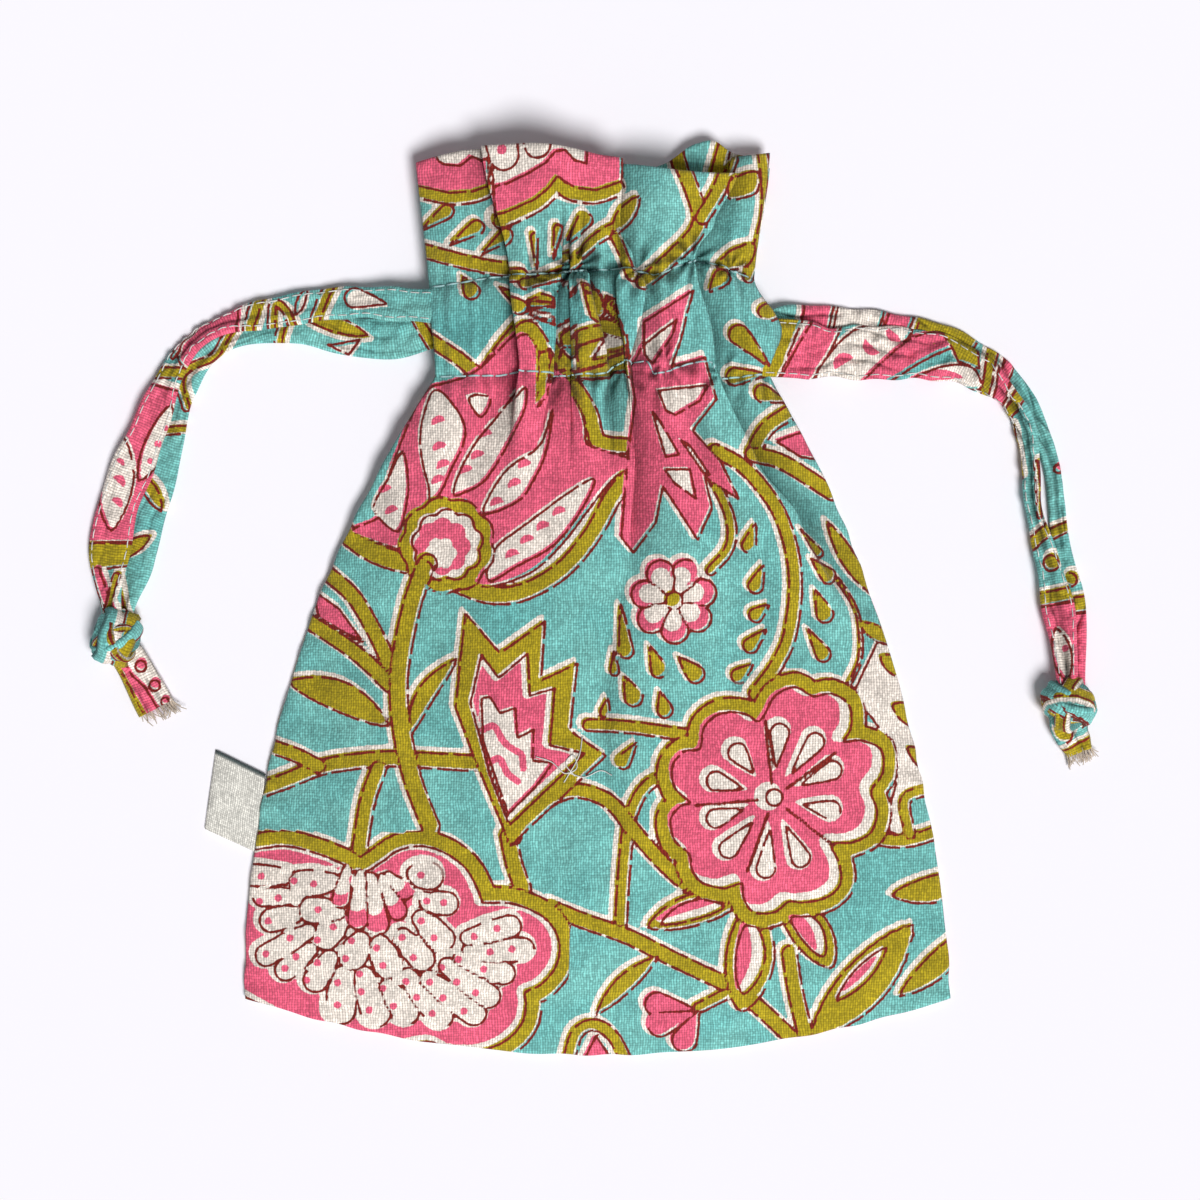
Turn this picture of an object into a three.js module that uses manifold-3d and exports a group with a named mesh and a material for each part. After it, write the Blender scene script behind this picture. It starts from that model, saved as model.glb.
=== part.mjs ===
// A small cotton drawstring pouch, lying flat with its neck gathered on two fabric tapes.
// Millimetres, +Z up. The origin is on the floor under the middle of the bag,
// +X points to the right side seam and +Y to the mouth.
import * as THREE from "three";
import { mergeVertices } from "three/addons/utils/BufferGeometryUtils.js";
import Module from "manifold-3d";

const wasm = await Module();
wasm.setup();

// Cloth and clearances
const CLOTH = 0.6; // wall of the printed cotton
const GAP = 0.3; // between pieces that touch

// The bag in plan
const BASE_HALF = 78.5; // half width at the bottom seam
const NECK_HALF = 37.5; // half width at the gathered casing
const MOUTH_HALF = 39.5; // half width at the top of the frill
const NECK_Y = 50; // lower row of casing stitches
const BODY_DROP = 138; // bottom corners below the lower stitches
const BASE_SAG = 12.5; // middle of the bottom seam below its corners
const CASING = 20; // between the two rows of stitches
const SAG_SPREAD = 1.6; // how fast the sag dies out up the body
const FRILL = 26.1; // front frill above the upper stitches
const FRILL_WAVE = { height: 3.1, pitch: 2.94, at: 0.07 }; // its edge, high at left and low at right
const BACK_FRILL = 25; // back frill above the upper stitches
const BACK_FLAP = { height: 5.8, at: 0.7, width: 0.2 }; // where it stands up behind the front

// The bag in height
const CROWN = 11.5; // how far the front lifts off the back
const CROWN_RUN = 0.4; // share of the body that the lift takes from the bottom seam
const MOUTH_GAP = 5.5; // free height inside the neck
const SEAM_GAP_AT_NECK = 0.4; // what is left of it at the side seams
const NECK_RUN_FROM = 0.55; // body share where the lift starts to run into the neck

// Gathers: shares of the half width, from -1 at the left seam to 1 at the right
const TIGHT_FROM = -0.49;
const TIGHT_TO = 0.255;
const TIGHT_PLEATS = 6;
const WIDE_FOLDS = 2; // broad folds to the right of the tight pleats
const PLEAT = 3.2; // height of the front pleats
const PLEAT_VARIETY = { share: 0.2, step: 2.4 }; // how much lower some tight pleats are
const BACK_PLEAT = 1.4; // height of the back pleats
const LEFT_FOLD_SHARE = 0.35; // height of the left fold, of a tight pleat
const WIDE_FOLD_SHARE = 0.5;
const STITCHED_SHARE = 0.45; // what the stitches leave of a pleat's height
const PLEAT_FADE = 0.62; // body share where the pleats have run out
const BACK_PLEAT_FADE = 0.75;
const CREASE = 1.8; // depth of the long creases below the neck
const CREASE_WIDTH = 0.06;
const CREASE_END = 0.12; // they run out this far below the stitches
const MIDDLE_CREASE = { at: 0.15, from: 0.4, run: 0.25 };
const RIGHT_CREASE = { at: 0.56, slant: 1.1, from: 0.62, run: 0.2 };

// Frill: borders of its lobes and their heights
const LOBE_BORDERS = [-1, -0.6, 0.12, 0.77, 1];
const LOBE_HEIGHTS = [1.6, 3.4, 3.0, 1.6];
const BACK_LOBE_SHARE = 0.4;
const FRILL_RELEASE = 1.5; // how fast the pleats open out above the stitches

// Drawstrings: flat tapes, folded and edge stitched
const TAPE = 0.8; // thickness
const TAPE_WIDTH = 7; // where it lies free
const TAPE_WIDTH_INSIDE = 6; // bunched in the casing
const TAPE_EDGE = 0.2; // half of the flat on its edge, as a share of its thickness
const SPREAD_FROM = 3; // it starts to widen this far outside the casing
const SPREAD_RUN = 8;
const RIGHT_FRONT_EXTRA = 4.5; // the right front strand is opened out beside the casing
const EXTRA_FROM = 0.5; // share of that strand, from the knot, where this starts
const EXTRA_RUN = 0.25;
const SLACK = 0.1;
const CHANNEL = TAPE + 2 * GAP + SLACK; // clear height of the casing
const LEFT_LANE = 0.68; // place of each drawstring across the casing
const RIGHT_LANE = 0.32;
const CHANNEL_EDGE = 0.12; // the casing's clear width ends this far from its stitches

// Knots and tails
const KNOT_RIDGE = 0.09; // the wraps, as a share of the radius
const KNOT_WRAPS = 3;
const KNOT_SLANT = 5;
const KNOT_SIDES = 20;
const KNOT_RINGS = 14;
const TAIL_WIDTH = 7.5;
const TAIL_THICK = 1.8;
const LEFT_TIE = {
  centre: new THREE.Vector3(-106, -8.1, 3.7),
  radii: new THREE.Vector3(5.6, 6.2, 3.9),
  tail: [[-105, -9, 2.2], [-102.5, -14, 1.8], [-100, -19, 1.4], [-97.6, -24, 1.2]],
};
const RIGHT_TIE = {
  centre: new THREE.Vector3(104, -23.7, 3.7),
  radii: new THREE.Vector3(5.4, 7.2, 3.9),
  tail: [[104.4, -26, 2.2], [105.4, -31, 1.8], [106.2, -34.5, 1.4], [106.8, -38, 1.2]],
};

// Label, a strip folded in two and caught in the left seam
const LABEL_OUT = 11.3;
const LABEL_TALL = 17.4;
const LABEL_LAYER = 0.4;
const LABEL_Y = -45.5; // where its middle meets the seam
const LABEL_DROOP = 0.41; // radians that it hangs down from square
const LABEL_FOLD_STEPS = 6;

// Heights that follow from the sizes above
const FRONT_EDGE = CLOTH + GAP + CLOTH;
const BACK_TAPE_Z = CLOTH + BACK_PLEAT + GAP + TAPE / 2;
const NECK_FLOOR = CLOTH + BACK_PLEAT + CHANNEL + CLOTH;

// Rows up the panels, from the bottom seam (0) over the casing (1 to 2) to the frill's top (3)
const FRONT_BODY_ROWS = [0, 0.03, 0.08, 0.15, 0.25, 0.36, 0.48, 0.6, 0.7, 0.79, 0.87, 0.94];
const BACK_BODY_ROWS = [0, 0.2, 0.45, 0.7, 0.86];
const CHANNEL_ROWS = [CHANNEL_EDGE, 0.3, 0.5, 0.7, 1 - CHANNEL_EDGE];
const FRONT_FRILL_ROWS = [0.12, 0.35, 0.6, 0.82, 1];
const BACK_FRILL_ROWS = [0.15, 0.55, 1];
const FRONT_COLUMNS = { left: 4, pleat: 5, fold: 4 };
const BACK_COLUMNS = { left: 3, pleat: 4, fold: 3 };

const clamp01 = (t) => Math.min(1, Math.max(0, t));
const smooth = (t) => clamp01(t) ** 2 * (3 - 2 * clamp01(t));
const mix = (a, b, t) => a + (b - a) * t;
const lobe = (t) => 0.5 - 0.5 * Math.cos(2 * Math.PI * t);
const bulge = (c) => Math.sqrt(Math.max(0, 1 - Math.abs(2 * c - 1) ** 4));
const bell = (t) => Math.exp(-(t ** 2));

// Closed solid through a row of closed loops of points, with an optional tunnel right through it.
// capFaces names the corners of the triangles that close its ends, counted round a loop and then
// round the tunnel.
function loft(loops, tunnels, capFaces, insideOut = false) {
  const size = loops[0].length;
  const hole = tunnels ? tunnels[0].length : 0;
  const step = size + hole;
  const points = loops.flatMap((ring, i) => [...ring, ...(tunnels ? tunnels[i] : [])]);
  const faces = [];
  const band = (count, from, turned) => {
    for (let i = 0; i < loops.length - 1; i++) {
      for (let j = 0; j < count; j++) {
        const a = i * step + from + j;
        const b = i * step + from + ((j + 1) % count);
        const quad = [a, b, b + step, a, b + step, a + step];
        faces.push(...(turned ? quad.reverse() : quad));
      }
    }
  };
  band(size, 0, false);
  band(hole, size, true);
  const last = (loops.length - 1) * step;
  for (const [a, b, c] of capFaces) {
    faces.push(c, b, a, a + last, b + last, c + last);
  }
  const geometry = new THREE.BufferGeometry();
  geometry.setAttribute(
    "position",
    new THREE.Float32BufferAttribute(points.flatMap((p) => p.toArray()), 3),
  );
  geometry.setIndex(insideOut ? faces.reverse() : faces);
  return geometry;
}

// Plan of both panels. across runs from -1 to 1, row as above.
function halfWidth(row) {
  if (row <= 1) return mix(BASE_HALF, NECK_HALF, row ** 2);
  return mix(NECK_HALF, MOUTH_HALF, clamp01(row - 2));
}

function planY(across, row, frill) {
  const body = Math.max(0, 1 - row);
  return (
    NECK_Y -
    BODY_DROP * body -
    BASE_SAG * body ** SAG_SPREAD * (1 - across ** 2) +
    CASING * clamp01(row - 1) +
    frill(across) * clamp01(row - 2)
  );
}

// How far each frill stands above the upper stitches.
function frontFrill(across) {
  return FRILL - FRILL_WAVE.height * Math.sin(FRILL_WAVE.pitch * (across - FRILL_WAVE.at));
}

function backFrill(across) {
  return BACK_FRILL + BACK_FLAP.height * bell((across - BACK_FLAP.at) / BACK_FLAP.width);
}

// Height of the gathers across the neck, as a share of a tight pleat.
function gather(across) {
  if (across < TIGHT_FROM) {
    return LEFT_FOLD_SHARE * lobe((across + 1) / (TIGHT_FROM + 1));
  }
  if (across < TIGHT_TO) {
    const turn = (TIGHT_PLEATS * (across - TIGHT_FROM)) / (TIGHT_TO - TIGHT_FROM);
    const lower = 1 - Math.cos(PLEAT_VARIETY.step * Math.floor(turn));
    return (1 - PLEAT_VARIETY.share * lower) * lobe(turn);
  }
  return WIDE_FOLD_SHARE * lobe((WIDE_FOLDS * (across - TIGHT_TO)) / (1 - TIGHT_TO));
}

// Height of the frill's lobes at its top edge.
function frillLobe(across) {
  const k = Math.min(
    LOBE_HEIGHTS.length - 1,
    LOBE_BORDERS.findLastIndex((border) => across >= border),
  );
  const span = LOBE_BORDERS[k + 1] - LOBE_BORDERS[k];
  return LOBE_HEIGHTS[k] * lobe((across - LOBE_BORDERS[k]) / span);
}

// Underside of the front facing inside the neck: a low arch from seam to seam.
function neckArch(across) {
  return NECK_FLOOR + mix(SEAM_GAP_AT_NECK, MOUTH_GAP, 1 - across ** 2);
}

// Long creases that run down from the neck: one near the middle, one out to the right seam.
function creases(across, row) {
  const groove = ({ at, from, run }) =>
    bell((across - at) / CREASE_WIDTH) * smooth((row - from) / run);
  const rightAt = RIGHT_CREASE.at + RIGHT_CREASE.slant * (1 - row);
  const both = groove(MIDDLE_CREASE) + groove({ ...RIGHT_CREASE, at: rightAt });
  return CREASE * both * smooth((1 - row) / CREASE_END);
}

// Outer face of the front panel.
function frontTop(across, row) {
  const sewn = neckArch(across) + 2 * CLOTH;
  const pleat = PLEAT * gather(across);
  if (row <= 1) {
    const lift = 1 - (1 - Math.min(1, row / CROWN_RUN)) ** 2;
    const arch = FRONT_EDGE + CROWN * (1 - across ** 2) * lift;
    const fade = smooth((row - PLEAT_FADE) / (1 - PLEAT_FADE));
    return (
      mix(arch, sewn, smooth((row - NECK_RUN_FROM) / (1 - NECK_RUN_FROM))) +
      STITCHED_SHARE * pleat * fade -
      creases(across, row)
    );
  }
  if (row <= 2) {
    const open = bulge(row - 1);
    return sewn + CHANNEL * open + pleat * mix(STITCHED_SHARE, 1, open);
  }
  const up = row - 2;
  const released = STITCHED_SHARE * pleat * (1 - up) ** FRILL_RELEASE;
  return sewn + released + frillLobe(across) * smooth(up);
}

// Outer face of the back panel, which lies on the floor.
function backBottom(across, row) {
  const pleat = BACK_PLEAT * gather(across);
  if (row <= 1) {
    const fade = smooth((row - BACK_PLEAT_FADE) / (1 - BACK_PLEAT_FADE));
    return STITCHED_SHARE * pleat * fade;
  }
  if (row <= 2) return pleat * mix(STITCHED_SHARE, 1, bulge(row - 1));
  const up = row - 2;
  return (
    STITCHED_SHARE * pleat * (1 - up) ** FRILL_RELEASE +
    BACK_LOBE_SHARE * frillLobe(across) * smooth(up)
  );
}

// Inner face of the back casing.
function backFacing(c) {
  const sewn = 2 * CLOTH + STITCHED_SHARE * BACK_PLEAT;
  return mix(sewn, NECK_FLOOR, bulge(c));
}

function columns({ left, pleat, fold }) {
  const spread = (from, to, count) =>
    Array.from({ length: count }, (_, k) => mix(from, to, k / count));
  return [
    ...spread(-1, TIGHT_FROM, left),
    ...spread(TIGHT_FROM, TIGHT_TO, TIGHT_PLEATS * pleat),
    ...spread(TIGHT_TO, 1, WIDE_FOLDS * fold),
    1,
  ];
}

// Side edge of a panel: strips between its outer and inner face, round the open end of the casing.
function sideEdge(bodyCount, rowCount) {
  const outer = (k) => k;
  const inner = (k) => 2 * rowCount - 1 - k;
  const slots = CHANNEL_ROWS.length;
  const near = (m) => 2 * rowCount + m;
  const far = (m) => 2 * rowCount + 2 * slots - 1 - m;
  const quad = (a, b, c, d) => [[a, b, c], [a, c, d]];
  const lower = bodyCount;
  const upper = bodyCount + slots + 1;
  const faces = [
    [outer(lower), outer(lower + 1), near(0)],
    [outer(lower), near(0), far(0)],
    [outer(lower), far(0), inner(lower)],
    [far(0), inner(lower + 1), inner(lower)],
    [outer(upper - 1), outer(upper), near(slots - 1)],
    [near(slots - 1), outer(upper), far(slots - 1)],
    [far(slots - 1), outer(upper), inner(upper)],
    [far(slots - 1), inner(upper), inner(upper - 1)],
  ];
  for (let k = 0; k < rowCount - 1; k++) {
    if (k >= lower && k < upper) continue;
    faces.push(...quad(outer(k), outer(k + 1), inner(k + 1), inner(k)));
  }
  for (let m = 0; m < slots - 1; m++) {
    const k = lower + 1 + m;
    faces.push(...quad(outer(k), outer(k + 1), near(m + 1), near(m)));
    faces.push(...quad(far(m), far(m + 1), inner(k + 1), inner(k)));
  }
  return faces;
}

// One panel: single cloth in the body, a tunnel in the casing, double cloth in the frill.
// outer gives its outer face, inner its inner face, channel the two faces of the tunnel.
function panel({ acrosses, bodyRows, frillRows, frill, outer, inner, channel, facesUp }) {
  const at = (across, row, z) =>
    new THREE.Vector3(halfWidth(row) * across, planY(across, row, frill), z);
  const slots = CHANNEL_ROWS.map((c) => 1 + c);
  const rows = [...bodyRows, 1, ...slots, 2, ...frillRows.map((up) => 2 + up)];
  const loops = [];
  const tunnels = [];
  for (const across of acrosses) {
    const outside = rows.map((row) => at(across, row, outer(across, row)));
    const inside = rows.map((row) => at(across, row, inner(across, row)));
    const near = slots.map((row) => at(across, row, channel.outer(across, row)));
    const far = slots.map((row) => at(across, row, channel.inner(across, row)));
    loops.push([...outside, ...inside.reverse()]);
    tunnels.push([...near, ...far.reverse()]);
  }
  return loft(loops, tunnels, sideEdge(bodyRows.length, rows.length), facesUp);
}

function frontPanel() {
  return panel({
    acrosses: columns(FRONT_COLUMNS),
    bodyRows: FRONT_BODY_ROWS,
    frillRows: FRONT_FRILL_ROWS,
    frill: frontFrill,
    outer: frontTop,
    inner: (across, row) => {
      if (row < 1) return frontTop(across, row) - CLOTH;
      return row <= 2 ? neckArch(across) : frontTop(across, row) - 2 * CLOTH;
    },
    channel: {
      outer: (across, row) => frontTop(across, row) - CLOTH,
      inner: (across) => neckArch(across) + CLOTH,
    },
    facesUp: true,
  });
}

function backPanel() {
  return panel({
    acrosses: columns(BACK_COLUMNS),
    bodyRows: BACK_BODY_ROWS,
    frillRows: BACK_FRILL_ROWS,
    frill: backFrill,
    outer: backBottom,
    inner: (across, row) => {
      if (row < 1) return backBottom(across, row) + CLOTH;
      return row <= 2 ? backFacing(row - 1) : backBottom(across, row) + 2 * CLOTH;
    },
    channel: {
      outer: (across, row) => backBottom(across, row) + CLOTH,
      inner: (across, row) => backFacing(row - 1) - CLOTH,
    },
    facesUp: false,
  });
}

// Free routes of the tapes, from the casing to the knot, as x, y, z of the tape's middle.
const LOW = 0.75; // a tape that lies on the floor
const OVER = 2.1; // a tape that lies on another
const LEFT_FRONT_ROUTE = [
  [-43.6, 65, 4.6], [-52.4, 65.6, 3], [-61.2, 65.1, OVER], [-70, 63.6, OVER], [-78.8, 61.9, OVER],
  [-86.5, 58.8, OVER], [-92, 53.6, OVER], [-95.8, 46.3, OVER], [-99, 38, OVER],
  [-102.5, 29.7, OVER], [-105.8, 20.9, OVER], [-107.6, 12.1, OVER], [-107.9, 4.4, 2.5],
  [-106.8, -4.5, 3.8],
];
const LEFT_BACK_ROUTE = [
  [-41.5, 63, 2.2], [-46, 60, 1.3], [-51, 58.3, LOW], [-57.5, 58.9, LOW], [-66, 60.2, LOW],
  [-74.4, 59.6, LOW], [-82.1, 57.2, LOW], [-88, 52.6, LOW], [-91.5, 46.4, LOW], [-93.7, 39.7, LOW],
  [-95.7, 32, LOW], [-98.1, 23.7, LOW], [-100.8, 15.4, LOW], [-103, 6.6, LOW], [-105, -4.5, 2.2],
];
const RIGHT_FRONT_ROUTE = [
  [43.5, 55.6, 4.6], [50.5, 54.8, 3.2], [59.8, 54.6, OVER], [70.8, 54.3, OVER], [79.6, 52.4, OVER],
  [87.3, 47.9, OVER], [92.4, 42.2, OVER], [95, 35.6, OVER], [96.6, 28.7, OVER], [97.3, 21.5, OVER],
  [98.1, 14.3, OVER], [99.7, 6.6, OVER], [101.4, -1.1, OVER], [102.6, -8.8, 2.6], [103.4, -19, 4],
];
const RIGHT_BACK_ROUTE = [
  [42, 57.2, 2.2], [47, 59.8, 1.3], [53, 60.8, LOW], [60.5, 60.4, LOW], [70.8, 58.8, LOW],
  [79.6, 56.1, LOW], [87.8, 51.4, LOW], [94, 44.8, LOW], [97.6, 37, LOW], [99.9, 29.4, LOW],
  [101, 21.8, LOW], [101.8, 14.3, LOW], [103.2, 6.6, LOW], [104.6, -1.1, LOW], [105.3, -8.8, LOW],
  [105, -19, 2.2],
];
const ROUTE_STEPS = 22;
const CHANNEL_STEPS = 12;
const TURN_STEPS = 6;

const routePoints = (route) =>
  new THREE.CatmullRomCurve3(route.map((p) => new THREE.Vector3(...p)))
    .getSpacedPoints(ROUTE_STEPS);

// The whole middle line of a drawstring: in along the front casing, round the far seam and back.
// side is -1 for the drawstring that leaves on the left and 1 for the other.
function drawstringLine(side, lane, frontRoute, backRoute) {
  const y = NECK_Y + lane * CASING;
  const frontZ = (x) => neckArch(x / NECK_HALF) + CLOTH + GAP + TAPE / 2;
  const xs = Array.from({ length: CHANNEL_STEPS + 1 }, (_, k) => {
    return mix(side, -side, k / CHANNEL_STEPS) * NECK_HALF;
  });
  const front = xs.map((x) => new THREE.Vector3(x, y, frontZ(x)));
  const back = xs.map((x) => new THREE.Vector3(x, y, BACK_TAPE_Z)).reverse();
  const radius = (frontZ(NECK_HALF) - BACK_TAPE_Z) / 2;
  const turn = [];
  for (let k = 1; k < TURN_STEPS; k++) {
    const angle = (Math.PI * k) / TURN_STEPS;
    const x = -side * (NECK_HALF + GAP + radius * Math.sin(angle));
    turn.push(new THREE.Vector3(x, y, BACK_TAPE_Z + radius * (1 + Math.cos(angle))));
  }
  return [...routePoints(frontRoute).reverse(), ...front, ...turn, ...back, ...routePoints(backRoute)];
}

// A flat tape along a line: an eight-sided section whose broad side starts level.
function tapeSection(width, thick) {
  const half = width / 2;
  const edge = half - thick / 2;
  const flat = TAPE_EDGE * thick;
  return [
    [half, -flat], [half, flat], [edge, thick / 2], [-edge, thick / 2],
    [-half, flat], [-half, -flat], [-edge, -thick / 2], [edge, -thick / 2],
  ];
}

function tape(line, widthAt, thick) {
  let side = null;
  const rings = line.map((point, i) => {
    const before = line[Math.max(0, i - 1)];
    const after = line[Math.min(line.length - 1, i + 1)];
    const along = after.clone().sub(before).normalize();
    side = side ?? new THREE.Vector3(0, 0, 1).cross(along).normalize();
    side = side.clone().addScaledVector(along, -side.dot(along)).normalize();
    const face = along.clone().cross(side);
    return tapeSection(widthAt(point, i), thick).map(([s, f]) => {
      return point.clone().addScaledVector(side, s).addScaledVector(face, f);
    });
  });
  const end = Array.from({ length: rings[0].length - 2 }, (_, k) => [0, k + 1, k + 2]);
  return loft(rings, null, end);
}

// Inside the casing the tape bunches up, and it is wider where it lies free.
// extra is what the front strand, whose points come first, opens out further beside the casing.
function tapeWidth(point, index, extra) {
  const outside = smooth((Math.abs(point.x) - NECK_HALF - SPREAD_FROM) / SPREAD_RUN);
  const share = index <= ROUTE_STEPS ? index / ROUTE_STEPS : 0;
  const opened = extra * smooth((share - EXTRA_FROM) / EXTRA_RUN);
  return mix(TAPE_WIDTH_INSIDE, TAPE_WIDTH + opened, outside);
}

const WELD = 1e-3; // points closer than this are one
const solidOf = (geometry) => {
  const bare = new THREE.BufferGeometry();
  bare.setAttribute("position", geometry.attributes.position);
  bare.setIndex(geometry.index);
  const merged = mergeVertices(bare, WELD);
  return new wasm.Manifold(
    new wasm.Mesh({
      numProp: 3,
      vertProperties: merged.attributes.position.array,
      triVerts: new Uint32Array(merged.index.array),
    }),
  );
};

const geometryOf = (solid) => {
  const mesh = solid.getMesh();
  const geometry = new THREE.BufferGeometry();
  geometry.setAttribute("position", new THREE.Float32BufferAttribute(mesh.vertProperties, 3));
  geometry.setIndex(new THREE.Uint32BufferAttribute(mesh.triVerts, 1));
  return geometry;
};

// An overhand knot pulled tight: an oval lump with the ridges of its wraps.
function knotLump({ centre, radii }, grown) {
  const lump = new THREE.SphereGeometry(1, KNOT_SIDES, KNOT_RINGS);
  const position = lump.attributes.position;
  const point = new THREE.Vector3();
  const full = radii.clone().addScalar(grown);
  for (let k = 0; k < position.count; k++) {
    point.fromBufferAttribute(position, k);
    const wrap = Math.cos(KNOT_WRAPS * Math.atan2(point.z, point.x) + KNOT_SLANT * point.y);
    point.multiplyScalar(1 + KNOT_RIDGE * wrap * (1 - point.y ** 2)).multiply(full).add(centre);
    position.setXYZ(k, point.x, point.y, Math.max(-grown, point.z));
  }
  return solidOf(lump);
}

// A knot with the tape's two ends, pressed together, below it.
function knot(tie) {
  const tail = tape(tie.tail.map((p) => new THREE.Vector3(...p)), () => TAIL_WIDTH, TAIL_THICK);
  return geometryOf(knotLump(tie, 0).add(solidOf(tail)));
}

// A drawstring, whose two strands end at the face of their knot.
function drawstring(side, lane, frontRoute, backRoute, tie, extra) {
  const line = drawstringLine(side, lane, frontRoute, backRoute);
  const whole = tape(line, (point, index) => tapeWidth(point, index, extra), TAPE);
  return geometryOf(solidOf(whole).subtract(knotLump(tie, GAP)));
}

// Left seam in plan, and its direction towards the mouth, at a height in plan.
function leftSeam(y) {
  const seamPoint = (at) => {
    const row = 1 - (NECK_Y - at) / BODY_DROP;
    return new THREE.Vector3(-halfWidth(row), at, 0);
  };
  const nearby = 0.1;
  const along = seamPoint(y + nearby).sub(seamPoint(y - nearby)).normalize();
  return { point: seamPoint(y), along };
}

// The label: a flat loop, folded at its outer end, whose open end is caught in the left seam.
function label() {
  const thick = 2 * LABEL_LAYER + GAP;
  const fold = LABEL_OUT - thick / 2;
  const outline = new THREE.Shape();
  outline.moveTo(0, 0);
  outline.lineTo(fold, 0);
  outline.absarc(fold, thick / 2, thick / 2, -Math.PI / 2, Math.PI / 2);
  outline.lineTo(0, thick);
  outline.lineTo(0, thick - LABEL_LAYER);
  outline.lineTo(fold, thick - LABEL_LAYER);
  outline.lineTo(fold, LABEL_LAYER);
  outline.lineTo(0, LABEL_LAYER);
  const strip = new THREE.ExtrudeGeometry(outline, {
    depth: LABEL_TALL,
    bevelEnabled: false,
    curveSegments: LABEL_FOLD_STEPS,
  });
  strip.translate(0, 0, -LABEL_TALL / 2);
  const seam = leftSeam(LABEL_Y);
  const out = new THREE.Vector3(-Math.cos(LABEL_DROOP), Math.sin(LABEL_DROOP), 0);
  const up = new THREE.Vector3(0, 0, 1);
  const place = new THREE.Matrix4().makeBasis(out, up, seam.along);
  const clear = seam.along.clone().cross(up).multiplyScalar(-GAP);
  place.setPosition(seam.point.clone().add(clear));
  return strip.applyMatrix4(place);
}

const cotton = (color) => new THREE.MeshStandardMaterial({ color, roughness: 0.9, metalness: 0 });
const TURQUOISE = 0x6cc5c1;
const PINK = 0xf0699b;
const OLIVE = 0x9a9a1c;
const ECRU = 0xdcd8cc;

const pouch = new THREE.Group();
function addPiece(name, geometry, material) {
  const mesh = new THREE.Mesh(geometry, material);
  mesh.name = name;
  pouch.add(mesh);
}

addPiece("front_panel", frontPanel(), cotton(TURQUOISE));
addPiece("back_panel", backPanel(), cotton(TURQUOISE));
addPiece(
  "left_drawstring",
  drawstring(-1, LEFT_LANE, LEFT_FRONT_ROUTE, LEFT_BACK_ROUTE, LEFT_TIE, 0),
  cotton(PINK),
);
addPiece(
  "right_drawstring",
  drawstring(1, RIGHT_LANE, RIGHT_FRONT_ROUTE, RIGHT_BACK_ROUTE, RIGHT_TIE, RIGHT_FRONT_EXTRA),
  cotton(OLIVE),
);
addPiece("left_knot", knot(LEFT_TIE), cotton(OLIVE));
addPiece("right_knot", knot(RIGHT_TIE), cotton(TURQUOISE));
addPiece("side_label", label(), cotton(ECRU));

export default pouch;
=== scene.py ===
"""Looks of a printed cotton pouch with two drawstrings, lying on a pale floor.

Lengths are in millimetres, in the frame of the solids, and become metres when a mesh is made.
"""

import math
from collections import namedtuple

import bpy
import numpy as np
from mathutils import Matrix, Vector


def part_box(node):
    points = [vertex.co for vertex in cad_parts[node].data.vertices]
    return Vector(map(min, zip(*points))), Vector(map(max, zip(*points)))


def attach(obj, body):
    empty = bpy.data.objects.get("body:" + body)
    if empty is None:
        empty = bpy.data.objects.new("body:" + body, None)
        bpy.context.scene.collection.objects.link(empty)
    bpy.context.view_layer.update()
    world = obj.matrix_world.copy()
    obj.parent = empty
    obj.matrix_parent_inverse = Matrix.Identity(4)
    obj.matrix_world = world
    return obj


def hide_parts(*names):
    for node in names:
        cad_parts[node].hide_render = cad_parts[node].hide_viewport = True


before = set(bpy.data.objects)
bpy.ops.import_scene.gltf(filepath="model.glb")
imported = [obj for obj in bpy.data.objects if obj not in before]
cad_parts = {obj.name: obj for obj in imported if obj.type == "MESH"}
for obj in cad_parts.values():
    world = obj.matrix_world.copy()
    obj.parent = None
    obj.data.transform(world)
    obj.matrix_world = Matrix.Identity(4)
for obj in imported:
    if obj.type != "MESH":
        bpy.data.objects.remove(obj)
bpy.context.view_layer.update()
MM = 0.001


# Camera, light and floor

VIEW_WIDTH = 264.0
VIEW_CENTRE_X = 0.44
VIEW_PLANE_Z = 4.0
LENS = 85.0
SENSOR = 36.0
SUN_FROM = (0.38, -0.60, 1.0)
SUN_STRENGTH = 3.16
SUN_SPREAD = 0.42
SKY_STRENGTH = 0.20
SKY_COLOUR = (0.97, 0.97, 1.0, 1.0)
FLOOR_COLOUR = (0.955, 0.935, 0.985, 1.0)
FLOOR_HALF = 3000.0
FLOOR_DROP = 0.05


def make_camera():
    """A lens straight above the pouch, so high that the square picture is VIEW_WIDTH wide."""
    data = bpy.data.cameras.new("camera")
    data.lens = LENS
    data.sensor_width = SENSOR
    data.clip_start = 0.01
    data.clip_end = 50.0
    camera = bpy.data.objects.new("camera", data)
    rise = VIEW_WIDTH * LENS / SENSOR
    camera.location = (VIEW_CENTRE_X * MM, 0.0, (VIEW_PLANE_Z + rise) * MM)
    bpy.context.scene.collection.objects.link(camera)
    bpy.context.scene.camera = camera


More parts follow.
